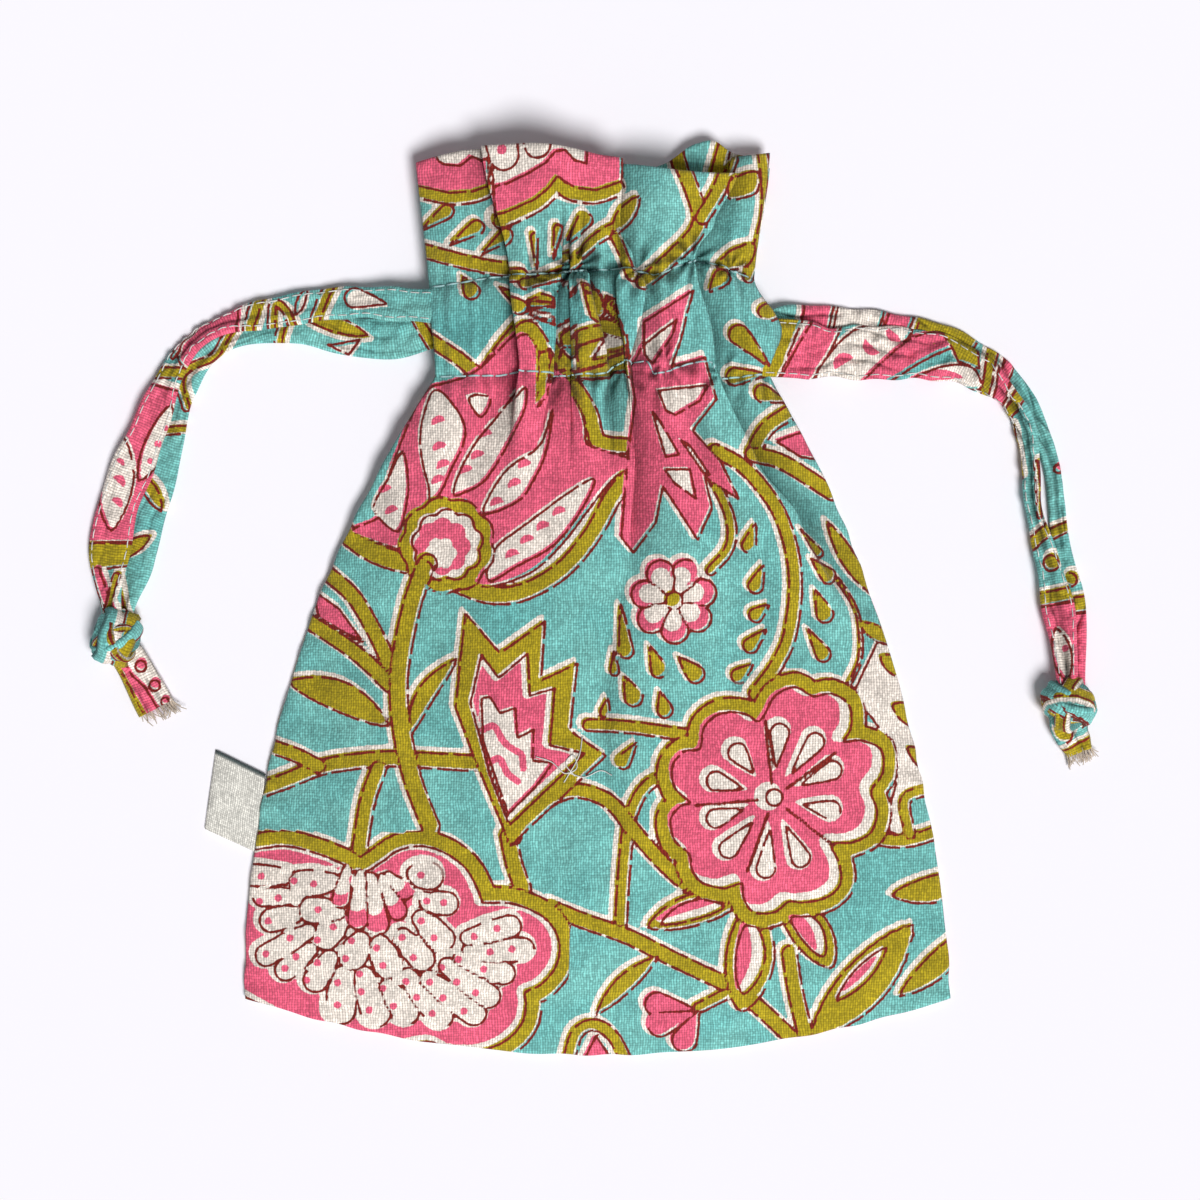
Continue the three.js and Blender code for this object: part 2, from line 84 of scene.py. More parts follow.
def make_light():
    """A broad lamp from the lower right and a pale sky, together about as bright as plain daylight."""
    data = bpy.data.lights.new("window_light", "SUN")
    data.energy = SUN_STRENGTH
    data.angle = SUN_SPREAD
    lamp = bpy.data.objects.new("window_light", data)
    lamp.rotation_mode = "QUATERNION"
    lamp.rotation_quaternion = Vector(SUN_FROM).to_track_quat("Z", "Y")
    bpy.context.scene.collection.objects.link(lamp)
    world = bpy.data.worlds.new("sky")
    bpy.context.scene.world = world
    world.use_nodes = True
    nodes = world.node_tree.nodes
    links = world.node_tree.links
    nodes.clear()
    rays = nodes.new("ShaderNodeLightPath")
    sky = nodes.new("ShaderNodeBackground")
    sky.inputs["Color"].default_value = SKY_COLOUR
    sky.inputs["Strength"].default_value = SKY_STRENGTH
    white = nodes.new("ShaderNodeBackground")
    white.inputs["Color"].default_value = FLOOR_COLOUR
    seen = nodes.new("ShaderNodeMath")
    seen.operation = "MAXIMUM"
    links.new(rays.outputs["Is Camera Ray"], seen.inputs[0])
    links.new(rays.outputs["Is Glossy Ray"], seen.inputs[1])
    pick = nodes.new("ShaderNodeMixShader")
    links.new(seen.outputs[0], pick.inputs[0])
    links.new(sky.outputs[0], pick.inputs[1])
    links.new(white.outputs[0], pick.inputs[2])
    out = nodes.new("ShaderNodeOutputWorld")
    links.new(pick.outputs[0], out.inputs["Surface"])


def make_floor():
    """A wide flat sheet just under the pouch."""
    corners = np.array([[-1, -1], [1, -1], [1, 1], [-1, 1]]) * FLOOR_HALF
    points = np.column_stack([corners, np.full(4, -FLOOR_DROP)]) * MM
    mesh = bpy.data.meshes.new("floor")
    mesh.from_pydata(points.tolist(), [], [(0, 1, 2, 3)])
    floor = bpy.data.objects.new("floor", mesh)
    bpy.context.scene.collection.objects.link(floor)
    material = bpy.data.materials.new("pale_floor")
    material.use_nodes = True
    shader = material.node_tree.nodes["Principled BSDF"]
    shader.inputs["Base Color"].default_value = FLOOR_COLOUR
    shader.inputs["Roughness"].default_value = 1.0
    shader.inputs["Specular IOR Level"].default_value = 0.0
    mesh.materials.append(material)


# Small formulas

def smooth(t):
    """The S-curve from 0 to 1."""
    t = np.clip(t, 0.0, 1.0)
    return t * t * (3.0 - 2.0 * t)


def mix(low, high, t):
    """low at t 0, high at t 1."""
    return low + (high - low) * t


def bell(t):
    """1 at 0, falling away on both sides."""
    return np.exp(-t * t)


def bulge(t):
    """A flat-topped arch from 0 to 1 and back."""
    return np.sqrt(np.maximum(0.0, 1.0 - np.abs(2.0 * t - 1.0) ** 4))


def through(t, places, values):
    """A soft line through the values at the places."""
    places = np.asarray(places, float)
    values = np.asarray(values, float)
    index = np.clip(np.searchsorted(places, t) - 1, 0, len(places) - 2)
    share = (t - places[index]) / (places[index + 1] - places[index])
    return mix(values[index], values[index + 1], smooth(share))


def ruffle(x, y, wavelength, seed, waves=7):
    """Soft random swells between about -1 and 1: a sum of plane waves in seeded directions."""
    rng = np.random.default_rng(seed)
    total = np.zeros(np.broadcast(x, y).shape)
    for _ in range(waves):
        turn = rng.uniform(0.0, math.tau)
        pitch = math.tau / (wavelength * rng.uniform(0.7, 1.5))
        phase = rng.uniform(0.0, math.tau)
        total = total + np.sin(pitch * (x * math.cos(turn) + y * math.sin(turn)) + phase)
    return total / waves ** 0.5


def spline(points, steps=8, closed=False):
    """A smooth curve through the points, with the given number of steps from each to the next."""
    p = np.asarray(points, float)
    if closed:
        before, after = np.roll(p, 1, 0), np.roll(p, -1, 0)
        start, end, later = p, after, np.roll(p, -2, 0)
    else:
        before = np.vstack([2 * p[0] - p[1], p[:-2]])
        start, end = p[:-1], p[1:]
        later = np.vstack([p[2:], 2 * p[-1] - p[-2]])
    t = (np.arange(steps) / steps)[None, :, None]
    b, s, e, w = (k[:, None, :] for k in (before, start, end, later))
    curve = 0.5 * (2 * s + (e - b) * t + (2 * b - 5 * s + 4 * e - w) * t ** 2
                   + (3 * s - b - 3 * e + w) * t ** 3)
    curve = curve.reshape(-1, p.shape[1])
    return curve if closed else np.vstack([curve, p[-1]])


def run_of(path):
    """Length along a path at each of its points."""
    return np.concatenate([[0.0], np.cumsum(np.linalg.norm(np.diff(path, axis=0), axis=1))])


# The print: blocks of ink on turquoise cotton

FAR = 4.0
HALO = 0.66
HALO_SLIP = np.array([-0.34, 0.31])
SLIP = np.array([0.55, -0.48])
DASH = 8.0
DASH_GAP = 1.0
LONG_DASH = 26.0
LONG_GAP = 0.8

Block = namedtuple("Block", "shape ink halo line grow level")


SIDE_STEP = 1.7


class Stroke:
    """A band along a smooth curve through points, its half width running through the given values."""

    def __init__(self, points, halves, steps=6):
        self.path = spline(points, steps)
        spots = np.linspace(0.0, 1.0, len(halves))
        self.half = np.interp(np.linspace(0.0, 1.0, len(self.path)), spots, halves)
        self.low = self.path.min(0) - self.half.max()
        self.high = self.path.max(0) + self.half.max()

    def measure(self, q):
        """Distance of each point from the band's edge, negative inside, and how far along it lies."""
        best = np.full(len(q), 1e9)
        along = np.zeros(len(q))
        run = run_of(self.path)
        for k in range(len(self.path) - 1):
            step = self.path[k + 1] - self.path[k]
            length = max(float(np.hypot(*step)), 1e-9)
            t = np.clip((q - self.path[k]) @ step / length ** 2, 0.0, 1.0)
            away = q - self.path[k] - t[:, None] * step
            d = np.hypot(away[:, 0], away[:, 1]) - mix(self.half[k], self.half[k + 1], t)
            nearer = d < best
            best = np.where(nearer, d, best)
            hand = np.sign(away[:, 0] * step[1] - away[:, 1] * step[0])
            along = np.where(nearer, run[k] + t * length + SIDE_STEP * hand, along)
        return best, along


class Patch:
    """A field of colour inside a closed outline, curved through its points or straight between them."""

    def __init__(self, points, curved=True, steps=5):
        self.path = spline(points, steps, closed=True) if curved else np.asarray(points, float)
        self.low = self.path.min(0)
        self.high = self.path.max(0)

    def measure(self, q):
        """Distance of each point from the outline, negative inside, and how far along it lies."""
        best = np.full(len(q), 1e9)
        along = np.zeros(len(q))
        inside = np.zeros(len(q), bool)
        ends = np.roll(self.path, -1, 0)
        run = 0.0
        for start, end in zip(self.path, ends):
            step = end - start
            length = max(float(np.hypot(*step)), 1e-9)
            t = np.clip((q - start) @ step / length ** 2, 0.0, 1.0)
            away = q - start - t[:, None] * step
            d = np.hypot(away[:, 0], away[:, 1])
            nearer = d < best
            best = np.where(nearer, d, best)
            along = np.where(nearer, run + t * length, along)
            run += length
            crosses = (start[1] > q[:, 1]) != (end[1] > q[:, 1])
            rise = step[1] if abs(step[1]) > 1e-12 else 1e-12
            inside ^= crosses & (q[:, 0] < start[0] + (q[:, 1] - start[1]) * step[0] / rise)
        return np.where(inside, -best, best), along


def vine(points, width):
    """A stem of even width."""
    return Stroke(points, [width / 2, width / 2])


def blade(tip, base, width, bend=0.0):
    """A leaf: pointed at both ends, its middle pushed sideways by bend."""
    tip, base = np.array(tip, float), np.array(base, float)
    run = base - tip
    side = np.array([-run[1], run[0]]) / np.hypot(*run)
    middle = (tip + base) / 2 + side * bend
    t = np.linspace(0.0, 1.0, 13)
    return Stroke([tip, middle, base], width / 2 * np.sin(math.pi * t) ** 0.8)


def drop(tip, heart, radius):
    """A teardrop: a point that swells to a round end."""
    t = np.linspace(0.0, 1.0, 9)
    return Stroke([tip, heart], radius * (0.06 + 0.94 * t ** 0.9))


def dot(centre, radius):
    """A round spot."""
    return Stroke([centre, np.array(centre, float) + [0.01, 0.0]], [radius, radius], steps=1)


def rosette(centre, radius, lobes, depth, turn=0.0):
    """A round flower outline whose radius dips by depth between its lobes."""
    t = np.linspace(0.0, math.tau, lobes * 8, endpoint=False)
    r = radius - depth + depth * np.abs(np.cos(lobes * (t - turn) / 2)) ** 0.8
    return Patch(np.column_stack([centre[0] + r * np.cos(t), centre[1] + r * np.sin(t)]), curved=False)


def moon(centre, radius, turn):
    """Half of a round spot, its round side facing the given direction in degrees."""
    t = math.radians(turn) + np.linspace(-math.pi / 2, math.pi / 2, 7)
    return Patch(np.array(centre) + radius * np.column_stack([np.cos(t), np.sin(t)]), curved=False)


def olive(shape, halo=HALO, level=0, grow=0.0):
    """A green block with its undyed halo and dark key line."""
    return Block(shape, "olive", halo, (DASH, DASH_GAP), grow, level)


def fill(shape, ink, level=None, grow=0.0, halo=0.0, dash=(LONG_DASH, LONG_GAP)):
    """A pink or undyed field; with a level, which counts how deep it lies in others, it has a key line."""
    line = None if level is None else dash
    return Block(shape, ink, halo, line, grow, level)


LOTUS_BODY = [(-54.5, 15.6), (-49, 18.5), (-48, 23), (-45.5, 30.5), (-43, 37), (-40.5, 43), (-37.5, 47), (-32, 48.5),
              (-27, 50.5), (-23, 54), (-19.5, 57.5), (-16.3, 59.5), (-13.5, 56), (-11.5, 50.5), (-8.5, 48), (-5.5, 44.5),
              (-3.5, 39), (-3, 34.5), (0.5, 33), (7.5, 30.3), (2.5, 26.5), (-3, 19.5), (-8, 13), (-15, 6.5), (-24.5, 3.4),
              (-30, 6), (-38, 9.6), (-45, 11.8)]
LOTUS_PETALS = [
    [(-36.1, 46.6), (-38.3, 42.5), (-39.4, 36.6), (-38.9, 30.6), (-37.5, 25.2), (-37.2, 21.9), (-34.8, 24.1), (-32.6, 29.0),
     (-30.2, 33.9), (-29.6, 38.2), (-32.1, 43.1)],
    [(-32.1, 23.6), (-30.5, 29.0), (-27.2, 34.9), (-22.3, 40.9), (-18.0, 46.3), (-16.1, 47.9), (-16.6, 42.0), (-20.2, 34.4),
     (-25.0, 26.8), (-29.4, 24.1)],
    [(-10.4, 40.9), (-13.4, 33.9), (-20.2, 29.0), (-24.0, 23.6), (-25.3, 19.2), (-18.0, 21.9), (-14.7, 26.3), (-12.0, 32.2)],
    [(-1.2, 26.6), (-7.2, 23.6), (-15.3, 17.6), (-23.4, 11.1), (-24.2, 4.6), (-18.0, 7.9), (-10.4, 12.2), (-5.0, 18.7)],
    [(-43.4, 33.0), (-46.7, 27.0), (-49.4, 22.5), (-49.5, 19.6), (-44.5, 15.4), (-42.6, 20.9), (-42.1, 26.4)],
    [(-28.8, 44.7), (-26.1, 40.4), (-24.0, 44.7)],
]
LOTUS_MOONS = [(-34.8, 38.7), (-34.5, 33.0), (-33.6, 29.1), (-34.8, 25.7), (-19.9, 42.8), (-22.9, 39.7), (-24.5, 35.8),
               (-26.2, 31.2), (-28.8, 27.9), (-14.3, 32.5), (-15.8, 29.0), (-18.0, 24.9), (-21.9, 20.9), (-8.3, 18.8),
               (-11.8, 15.6), (-15.3, 12.6), (-18.5, 9.5), (-46.7, 23.8), (-45.2, 19.2)]
MOON_RADIUS = 1.7
MOON_TURN = 110.0
LOTUS_RING = np.array([-33.4, 12.4])


def lotus():
    """The large bud at the upper left: pink fan of white petals over a scalloped heart, in a green rim."""
    rims = [vine([(-31.5, 4.1), (-24.5, 1.6), (-16.9, 2.1), (-8.3, 7.0), (-1.8, 14.6), (3.1, 23.4), (8.0, 28.6)], 3.7),
            vine([(-57, 16.0), (-53, 12.8), (-48.5, 10.3), (-43, 8.6), (-39, 8.2)], 4.3),
            vine([(-12, 55), (-9, 51), (-5.5, 46.9), (-2.3, 41.4), (-1.2, 36.8), (0.4, 34.6), (8.5, 33.6)], 3.3),
            vine([(-37, 57.3), (-31, 53.2), (-26, 49.7), (-23, 53), (-20, 57), (-16, 61), (-13, 58), (-12, 54.5)], 2.8)]
    blocks = [olive(r) for r in rims]
    blocks += [fill(Patch(LOTUS_BODY), "pink", 0)]
    blocks += [fill(Patch(petal), "white", 1) for petal in LOTUS_PETALS]
    blocks += [fill(moon(spot, MOON_RADIUS, MOON_TURN), "pink") for spot in LOTUS_MOONS]
    blocks += [olive(rosette(LOTUS_RING, 10.6, 9, 1.0, 0.4), 0.0, 1),
               fill(rosette(LOTUS_RING, 7.9, 9, 1.1, 0.2), "white", 2),
               fill(rosette(LOTUS_RING + [-0.6, -0.7], 6.3, 8, 0.9), "pink"),
               fill(rosette(LOTUS_RING + [-0.9, -2.2], 3.6, 6, 0.7), "white"),
               olive(dot((-37.8, 8.4), 2.1), 0.0, 1)]
    return blocks


TULIP = [(-29.4, -2.4), (-21.8, -11.1), (-12, -4.1), (-12.9, -17), (-5, -13.3), (-6.6, -27.9), (1.2, -33.3), (-7.5, -41.5),
         (-15.5, -49), (-19.5, -53), (-24, -42), (-28.5, -31), (-31.5, -23), (-30.5, -12)]
TULIP_INNER = [(-25.9, -11.4), (-22.1, -16.5), (-15.8, -11.1), (-15.3, -20.3), (-9.9, -18.7), (-11, -31.1), (-3.4, -32.8),
               (-11.5, -40.5), (-19.8, -48.5), (-24, -37.5), (-28.3, -22)]
TULIP_HEART = [(-25.9, -20.8), (-24, -20.6), (-21.8, -24.1), (-18.5, -23), (-18, -29.5), (-14.5, -27.6), (-14.7, -34.4),
               (-10.4, -34.9), (-14, -40), (-20, -46), (-25.5, -30)]
TULIP_STRIPES = [[(-25.0, -28.2), (-22.6, -27.4), (-20.6, -30.6), (-18.4, -32.4), (-16.6, -33.6), (-16.2, -36.6)],
                 [(-23.4, -35.2), (-21.4, -34.4), (-19.6, -37.6), (-17.4, -39.4)]]


def tulip():
    """The serrated bud in the middle and the stalks that leave its foot."""
    blocks = [olive(vine([(-20, -51), (-18.7, -57), (-16.8, -62.5)], 3.6)),
              olive(vine([(-18.8, -51), (-15, -45.8), (-9, -41.8), (-4, -41), (2, -43.3), (6.5, -48.6), (11.5, -54.5),
                          (16.5, -59.6), (21.5, -63.5)], 3.1)),
              olive(Patch(TULIP, curved=False)),
              fill(Patch(TULIP_INNER, curved=False), "white", 1),
              fill(Patch(TULIP_INNER, curved=False), "pink", None, -1.1),
              fill(Patch(TULIP_HEART, curved=False), "white", 2)]
    blocks += [fill(vine(stripe, 1.5), "pink") for stripe in TULIP_STRIPES]
    return blocks


SHELL = [(-92, -59), (-75.8, -55.8), (-68.7, -55), (-61.3, -56.7), (-57.4, -58.2), (-52.3, -60.5), (-47.1, -57.7),
         (-43.6, -55.3), (-39.2, -54.5), (-34.3, -55.8), (-29.9, -59.2), (-27.4, -64.1), (-26.2, -66.6), (-19.6, -66.8),
         (-13.2, -69.5), (-10.3, -73.9), (-10.7, -78.8), (-13.7, -82.8), (-17.6, -84.9), (-17.6, -88.7), (-18.6, -92.6),
         (-22, -96), (-27, -98), (-32.8, -98), (-37.8, -95.9), (-47, -97.4), (-58, -96), (-68, -91.5), (-78, -86), (-92, -79)]
SHELL_WHITE = 1.2
SHELL_GREEN = 4.7
SHELL_PETALS = [
    ((-56.7, -82.3), (-57.3, -89.9), 3.3, [(-57.4, -84.3), (-57.5, -89.3)]),
    ((-52.0, -82.3), (-49.5, -90.6), 3.2, [(-52.5, -82.3), (-52.2, -86.3), (-50.5, -90.4)]),
    ((-46.6, -84.7), (-42.9, -90.4), 2.9, [(-47.4, -85.5), (-45.1, -89.5)]),
    ((-42.2, -82.3), (-35.3, -91.1), 2.9, [(-42.2, -83.8), (-39.9, -87.4), (-36.5, -91.0)]),
    ((-37.8, -82.8), (-27.9, -90.4), 2.8, [(-37.0, -83.9), (-34.1, -87.4), (-29.5, -90.4)]),
    ((-33.6, -79.8), (-24.7, -86.5), 2.7, [(-34.3, -80.6), (-31.0, -83.8), (-26.9, -86.2)]),
    ((-30.4, -77.9), (-21.3, -81.3), 2.6, [(-30.6, -78.7), (-25.0, -80.9)]),
    ((-28.4, -76.4), (-17.1, -75.9), 2.7, [(-23.6, -77.0), (-18.8, -76.3)]),
    ((-28.9, -73.4), (-19.8, -70.7), 2.5, [(-27.1, -73.6), (-22.0, -71.7)]),
    ((-59.6, -78.4), (-62.8, -83.3), 2.7, [(-61.8, -79.9), (-64.3, -83.8)]),
    ((-64.0, -76.6), (-69.4, -81.1), 2.4, [(-66.6, -78.6), (-69.0, -81.2)]),
    ((-64.3, -72.5), (-73.8, -77.9), 2.4, [(-67.9, -74.5), (-73.3, -78.1)]),
    ((-67.2, -68.8), (-72.6, -70.2), 2.6, [(-72.8, -70.8)]),
    ((-56.9, -70.0), (-60.3, -73.9), 2.7, [(-58.2, -71.9), (-61.8, -74.9)]),
    ((-52.7, -74.4), (-54.4, -77.9), 3.1, [(-54.2, -74.9), (-55.6, -78.9)]),
    ((-48.3, -75.2), (-46.8, -79.6), 3.2, [(-48.6, -76.4), (-47.3, -80.3)]),
    ((-43.2, -73.4), (-39.2, -78.1), 2.9, [(-42.9, -73.9), (-40.5, -78.4)]),
    ((-39.2, -69.3), (-34.8, -73.7), 2.9, [(-38.7, -70.2), (-35.9, -73.9)]),
    ((-66.7, -64.8), (-74.6, -65.1), 2.1, [(-74.8, -66.6), (-70.5, -65.7)]),
    ((-68.7, -60.4), (-80.0, -60.2), 2.4, [(-74.3, -60.9)]),
    ((-58.9, -61.4), (-65.7, -61.9), 2.9, [(-67.0, -61.9), (-62.5, -62.4)]),
    ((-57.9, -67.8), (-63.5, -67.8), 2.9, [(-61.6, -68.1)]),
    ((-37.8, -65.6), (-33.6, -65.8), 2.6, [(-37.4, -65.8), (-33.7, -66.1)]),
    ((-40.2, -59.4), (-37.3, -59.8), 3.0, [(-38.7, -60.1)]),
]
SHELL_SLIVERS = [((-55.4, -58.5), (-56.9, -65.1), 2.0), ((-52.5, -59.7), (-53.2, -69.5), 2.3), ((-50.0, -60.2), (-48.6, -70.5), 2.3),
                 ((-47.6, -60.2), (-44.4, -67.5), 2.1), ((-46.3, -59.7), (-42.7, -63.1), 1.9)]
SHELL_DOT = 0.85
SHELL_DASH = (11.0, 2.4)


def shell():
    """The wide flower at the lower left: rows of dotted white petals fanned out from its heart."""
    outline = Patch(SHELL)
    blocks = [olive(vine([(-37, -49), (-41, -38.5), (-43.5, -26.5), (-44, -17.5), (-43, -9), (-41, 0), (-38.6, 7)], 4.0)),
              olive(vine([(-48.5, -36.5), (-51, -44), (-52.6, -54)], 3.4)),
              olive(outline, HALO, 0, SHELL_GREEN), fill(outline, "white", 1, SHELL_WHITE), fill(outline, "pink")]
    petals = [(Stroke([base, tip], [half * 0.7, half, half], 2), dots) for base, tip, half, dots in SHELL_PETALS]
    blocks += [fill(petal, "white", None, 1.0) for petal, _ in petals]
    for petal, dots in petals:
        blocks.append(fill(petal, "white", 0, 0.0, 0.0, SHELL_DASH))
        blocks += [fill(dot(spot, SHELL_DOT), "pink") for spot in dots]
    for root, tip, half in SHELL_SLIVERS:
        sliver = Stroke([root, tip], [half * 0.5, half * 0.8, half], 2)
        blocks.append(fill(sliver, "pink", 0, 0.0, 0.0, SHELL_DASH))
        blocks.append(fill(Stroke([root, mix(np.array(root), np.array(tip), 0.66)], [half * 0.5, half * 0.9], 2), "white"))
    return blocks


STAR = [(9.5, 60.8), (15.0, 64.2), (20.2, 67.6), (18.8, 62.8), (17.4, 56.6), (15.4, 51.1), (22.7, 53.2), (25.3, 44.2), (20, 37.5), (26, 31), (30.2, 22.5),
        (22.7, 27.3), (24.3, 20.4), (21.1, 13.5), (17, 20), (13.6, 25.2), (12, 17.2), (7.2, 10.8), (4.5, 14), (5.5, 26), (6.5, 36), (7.6, 44), (6.4, 51.6), (7.5, 52.6), (9.4, 56.4)]
STAR_WHITES = [[(12.6, 46), (23.5, 47.3), (21.6, 43.9), (16.3, 40.7), (14.2, 41.7)],
               [(11.2, 41.7), (13.1, 39.1), (17.1, 32.1), (14.2, 31.6)],
               [(13.9, 28.9), (19.5, 28.9), (20.8, 22.5), (16.3, 25.7)],
               [(9.6, 56.0), (16.5, 61.2), (15.6, 57.8), (11.4, 51.8), (9.6, 53.8)],
               [(17.4, 35.4), (19.4, 34.2), (24.0, 27.6), (22.4, 28.2)]]


def star():
    """The pink flower that hangs from the neck, with white wedges."""
    blocks = [fill(Patch(STAR, curved=False), "pink", 0, 0.0, HALO)]
    blocks += [fill(Patch(wedge, curved=False), "white", 1) for wedge in STAR_WHITES]
    return blocks


BLOSSOM = np.array([16.0, 0.4])


def blossom():
    """The small seven-petalled flower in the middle."""
    blocks = []
    ways = [np.array([math.cos(t), math.sin(t)]) for t in np.linspace(0.25, 0.25 + math.tau, 7, endpoint=False)]
    for way in ways:
        blocks.append(fill(drop(BLOSSOM + way, BLOSSOM + way * 6.4, 3.0), "pink", 0, 0.0, HALO))
    blocks += [fill(drop(BLOSSOM, BLOSSOM + way * 5.1, 2.1), "white") for way in ways]
    blocks.append(olive(dot(BLOSSOM, 1.8), 0.0, 1))
    return blocks


ROUND = np.array([37.6, -42.7])
ROUND_EDGE = [(35.8, -24.4), (38.1, -20.3), (42.6, -18.5), (46.4, -20.6), (50.5, -20.0), (54.6, -22.6), (54.9, -27.7), (53.2, -30.6),
              (57.0, -30.3), (61.7, -32.4), (62.0, -37.7), (59.4, -41.5), (60.8, -45.9), (59.4, -50.6), (55.2, -52.7), (50.5, -53.0),
              (52.3, -57.1), (52.6, -61.8), (49.3, -64.8), (44.0, -65.7), (41.1, -65.4), (38.1, -67.7), (33.4, -67.7), (31.1, -64.2),
              (30.8, -61.2), (27.0, -62.4), (22.2, -61.2), (19.9, -58.3), (19.3, -54.8), (16.1, -51.8), (15.2, -47.1), (17.5, -44.2),
              (19.6, -43.6), (16.3, -40.6), (15.5, -35.9), (18.1, -32.4), (21.7, -31.8), (22.5, -27.1), (26.4, -24.1), (31.7, -24.4),
              (34.2, -26.0)]
ROUND_GREEN = 3.2
ROUND_INSET = -1.0
ROUND_SLIP = np.array([-1.1, 0.6])
ROUND_DROPS = [(84.0, 14.4), (52.5, 15.4), (24.0, 14.6), (-12.4, 13.4), (-65.0, 14.6), (-96.0, 15.6), (-131.5, 14.8), (-161.0, 13.4),
               (163.0, 13.2), (128.0, 12.8)]
ROUND_PARTS = [95.6, 35.0, -38.5, -109.5, -175.0]
SEPALS = [((10.2, -70.9), (30.5, -65.5), 7.0, 1.0), ((33, -66), (31, -90.0), 10.8, 0.8), ((39.5, -65), (51.0, -80.5), 8.5, 1.0)]


def way_at(turn):
    """The direction at an angle in degrees."""
    return np.array([math.cos(math.radians(turn)), math.sin(math.radians(turn))])


def round_flower():
    """The large round flower at the lower right, with paired teardrops and three leaves under it."""
    blocks = [olive(blade(tip, base, width, bend)) for tip, base, width, bend in SEPALS]
    for tip, base, width, bend in SEPALS:
        inner_tip, inner_base = mix(np.array(tip), np.array(base), 0.14), mix(np.array(tip), np.array(base), 0.84)
        blocks.append(fill(blade(inner_tip, inner_base, width * 0.6, bend), "white", 1))
        blocks.append(fill(blade(inner_tip + [-1.0, 0.2], inner_base + [-1.0, 0.6], width * 0.34, bend), "pink"))
    edge = Patch(ROUND_EDGE, steps=3)
    blocks += [olive(edge, HALO, 0, ROUND_GREEN), fill(edge, "white", 1),
               fill(Patch(np.array(ROUND_EDGE) + ROUND_SLIP, steps=3), "pink", None, ROUND_INSET)]
    for turn in ROUND_PARTS:
        way = way_at(turn)
        blocks.append(fill(Stroke([ROUND + way * 3.4, ROUND + way * 17.0], [0.12, 0.12]), None, 1))
    for turn, reach in ROUND_DROPS:
        way = way_at(turn)
        blocks.append(fill(drop(ROUND + way * 5.4, ROUND + way * reach, 3.0), "white"))
        blocks.append(fill(drop(ROUND + way * 7.0, ROUND + way * (reach - 0.2), 2.1), "white", 0))
    blocks += [fill(dot(ROUND + [-0.6, 0], 3.1), "white"), fill(dot(ROUND + [0.2, 0.2], 1.8), "white", 0)]
    return blocks


VINES = [([(25, 33), (30.5, 30), (35, 25.5), (39.3, 19), (42, 10.5), (42.6, 2), (41.3, -7.5), (38.3, -14), (33.8, -20)], 2.9),
         ([(23.5, 28.5), (26.5, 23), (28.6, 17), (28, 11.5), (24, 6.8)], 2.0),
         ([(-80, -43.5), (-75, -41.5), (-69, -39.3), (-62, -36.5), (-54.5, -35), (-45.5, -34.2), (-37, -34.5), (-27.5, -35)], 3.4),
         ([(-78, -30.5), (-68, -33.3), (-62, -36)], 3.0),
         ([(-2.5, -26.7), (7, -27.2), (20, -29.0)], 2.6),
         ([(15.2, -37.4), (10.0, -40.0), (6.6, -46.5), (5.2, -57.5), (4.4, -71.5)], 2.6),
         ([(-10.5, -66.5), (-4, -69.3), (6.5, -73.2), (16.5, -78.4), (26.5, -83.2), (33.5, -88), (43, -97)], 3.3),
         ([(41.5, -77), (43, -86), (46.2, -99)], 3.3),
         ([(52.2, 5), (56, -1), (57.2, -6.5), (57, -13), (54.3, -18.5)], 0.9),
         ([(60.5, -52), (67.5, -52.6), (77, -50.2)], 2.8),
         ([(68.2, -51), (67.3, -43.5), (74, -41.2)], 2.4),
         ([(33.2, 32.3), (36.5, 38), (43, 42.5)], 3.2),
         ([(33.2, 32.3), (40, 30.6), (51, 24)], 3.2),
         ([(-61, 7), (-54.5, 1.5), (-50.3, -5), (-47, -11.5), (-45, -17)], 3.3),
         ([(-69, -1.5), (-60, -7), (-52.5, -12), (-46, -18)], 3.3)]
LEAVES = [((-69, -17.5), (-46, -27), 6.6, 1.6), ((-31.3, -12.3), (-42, -29.5), 4.0, -1.6), ((-0.8, -90.5), (12.5, -77.5), 4.0, 0.6),
          ((69, -71), (46.5, -96.5), 10.5, 0.5), ((64, -64.5), (84, -60), 6.0, -1.0), ((66, -87), (82, -72), 5.5, -0.8),
          ((49.8, 17.8), (61.6, 0.6), 3.6, -0.6), ((39.6, 64.6), (34.6, 63.2), 4.0, 0.4)]
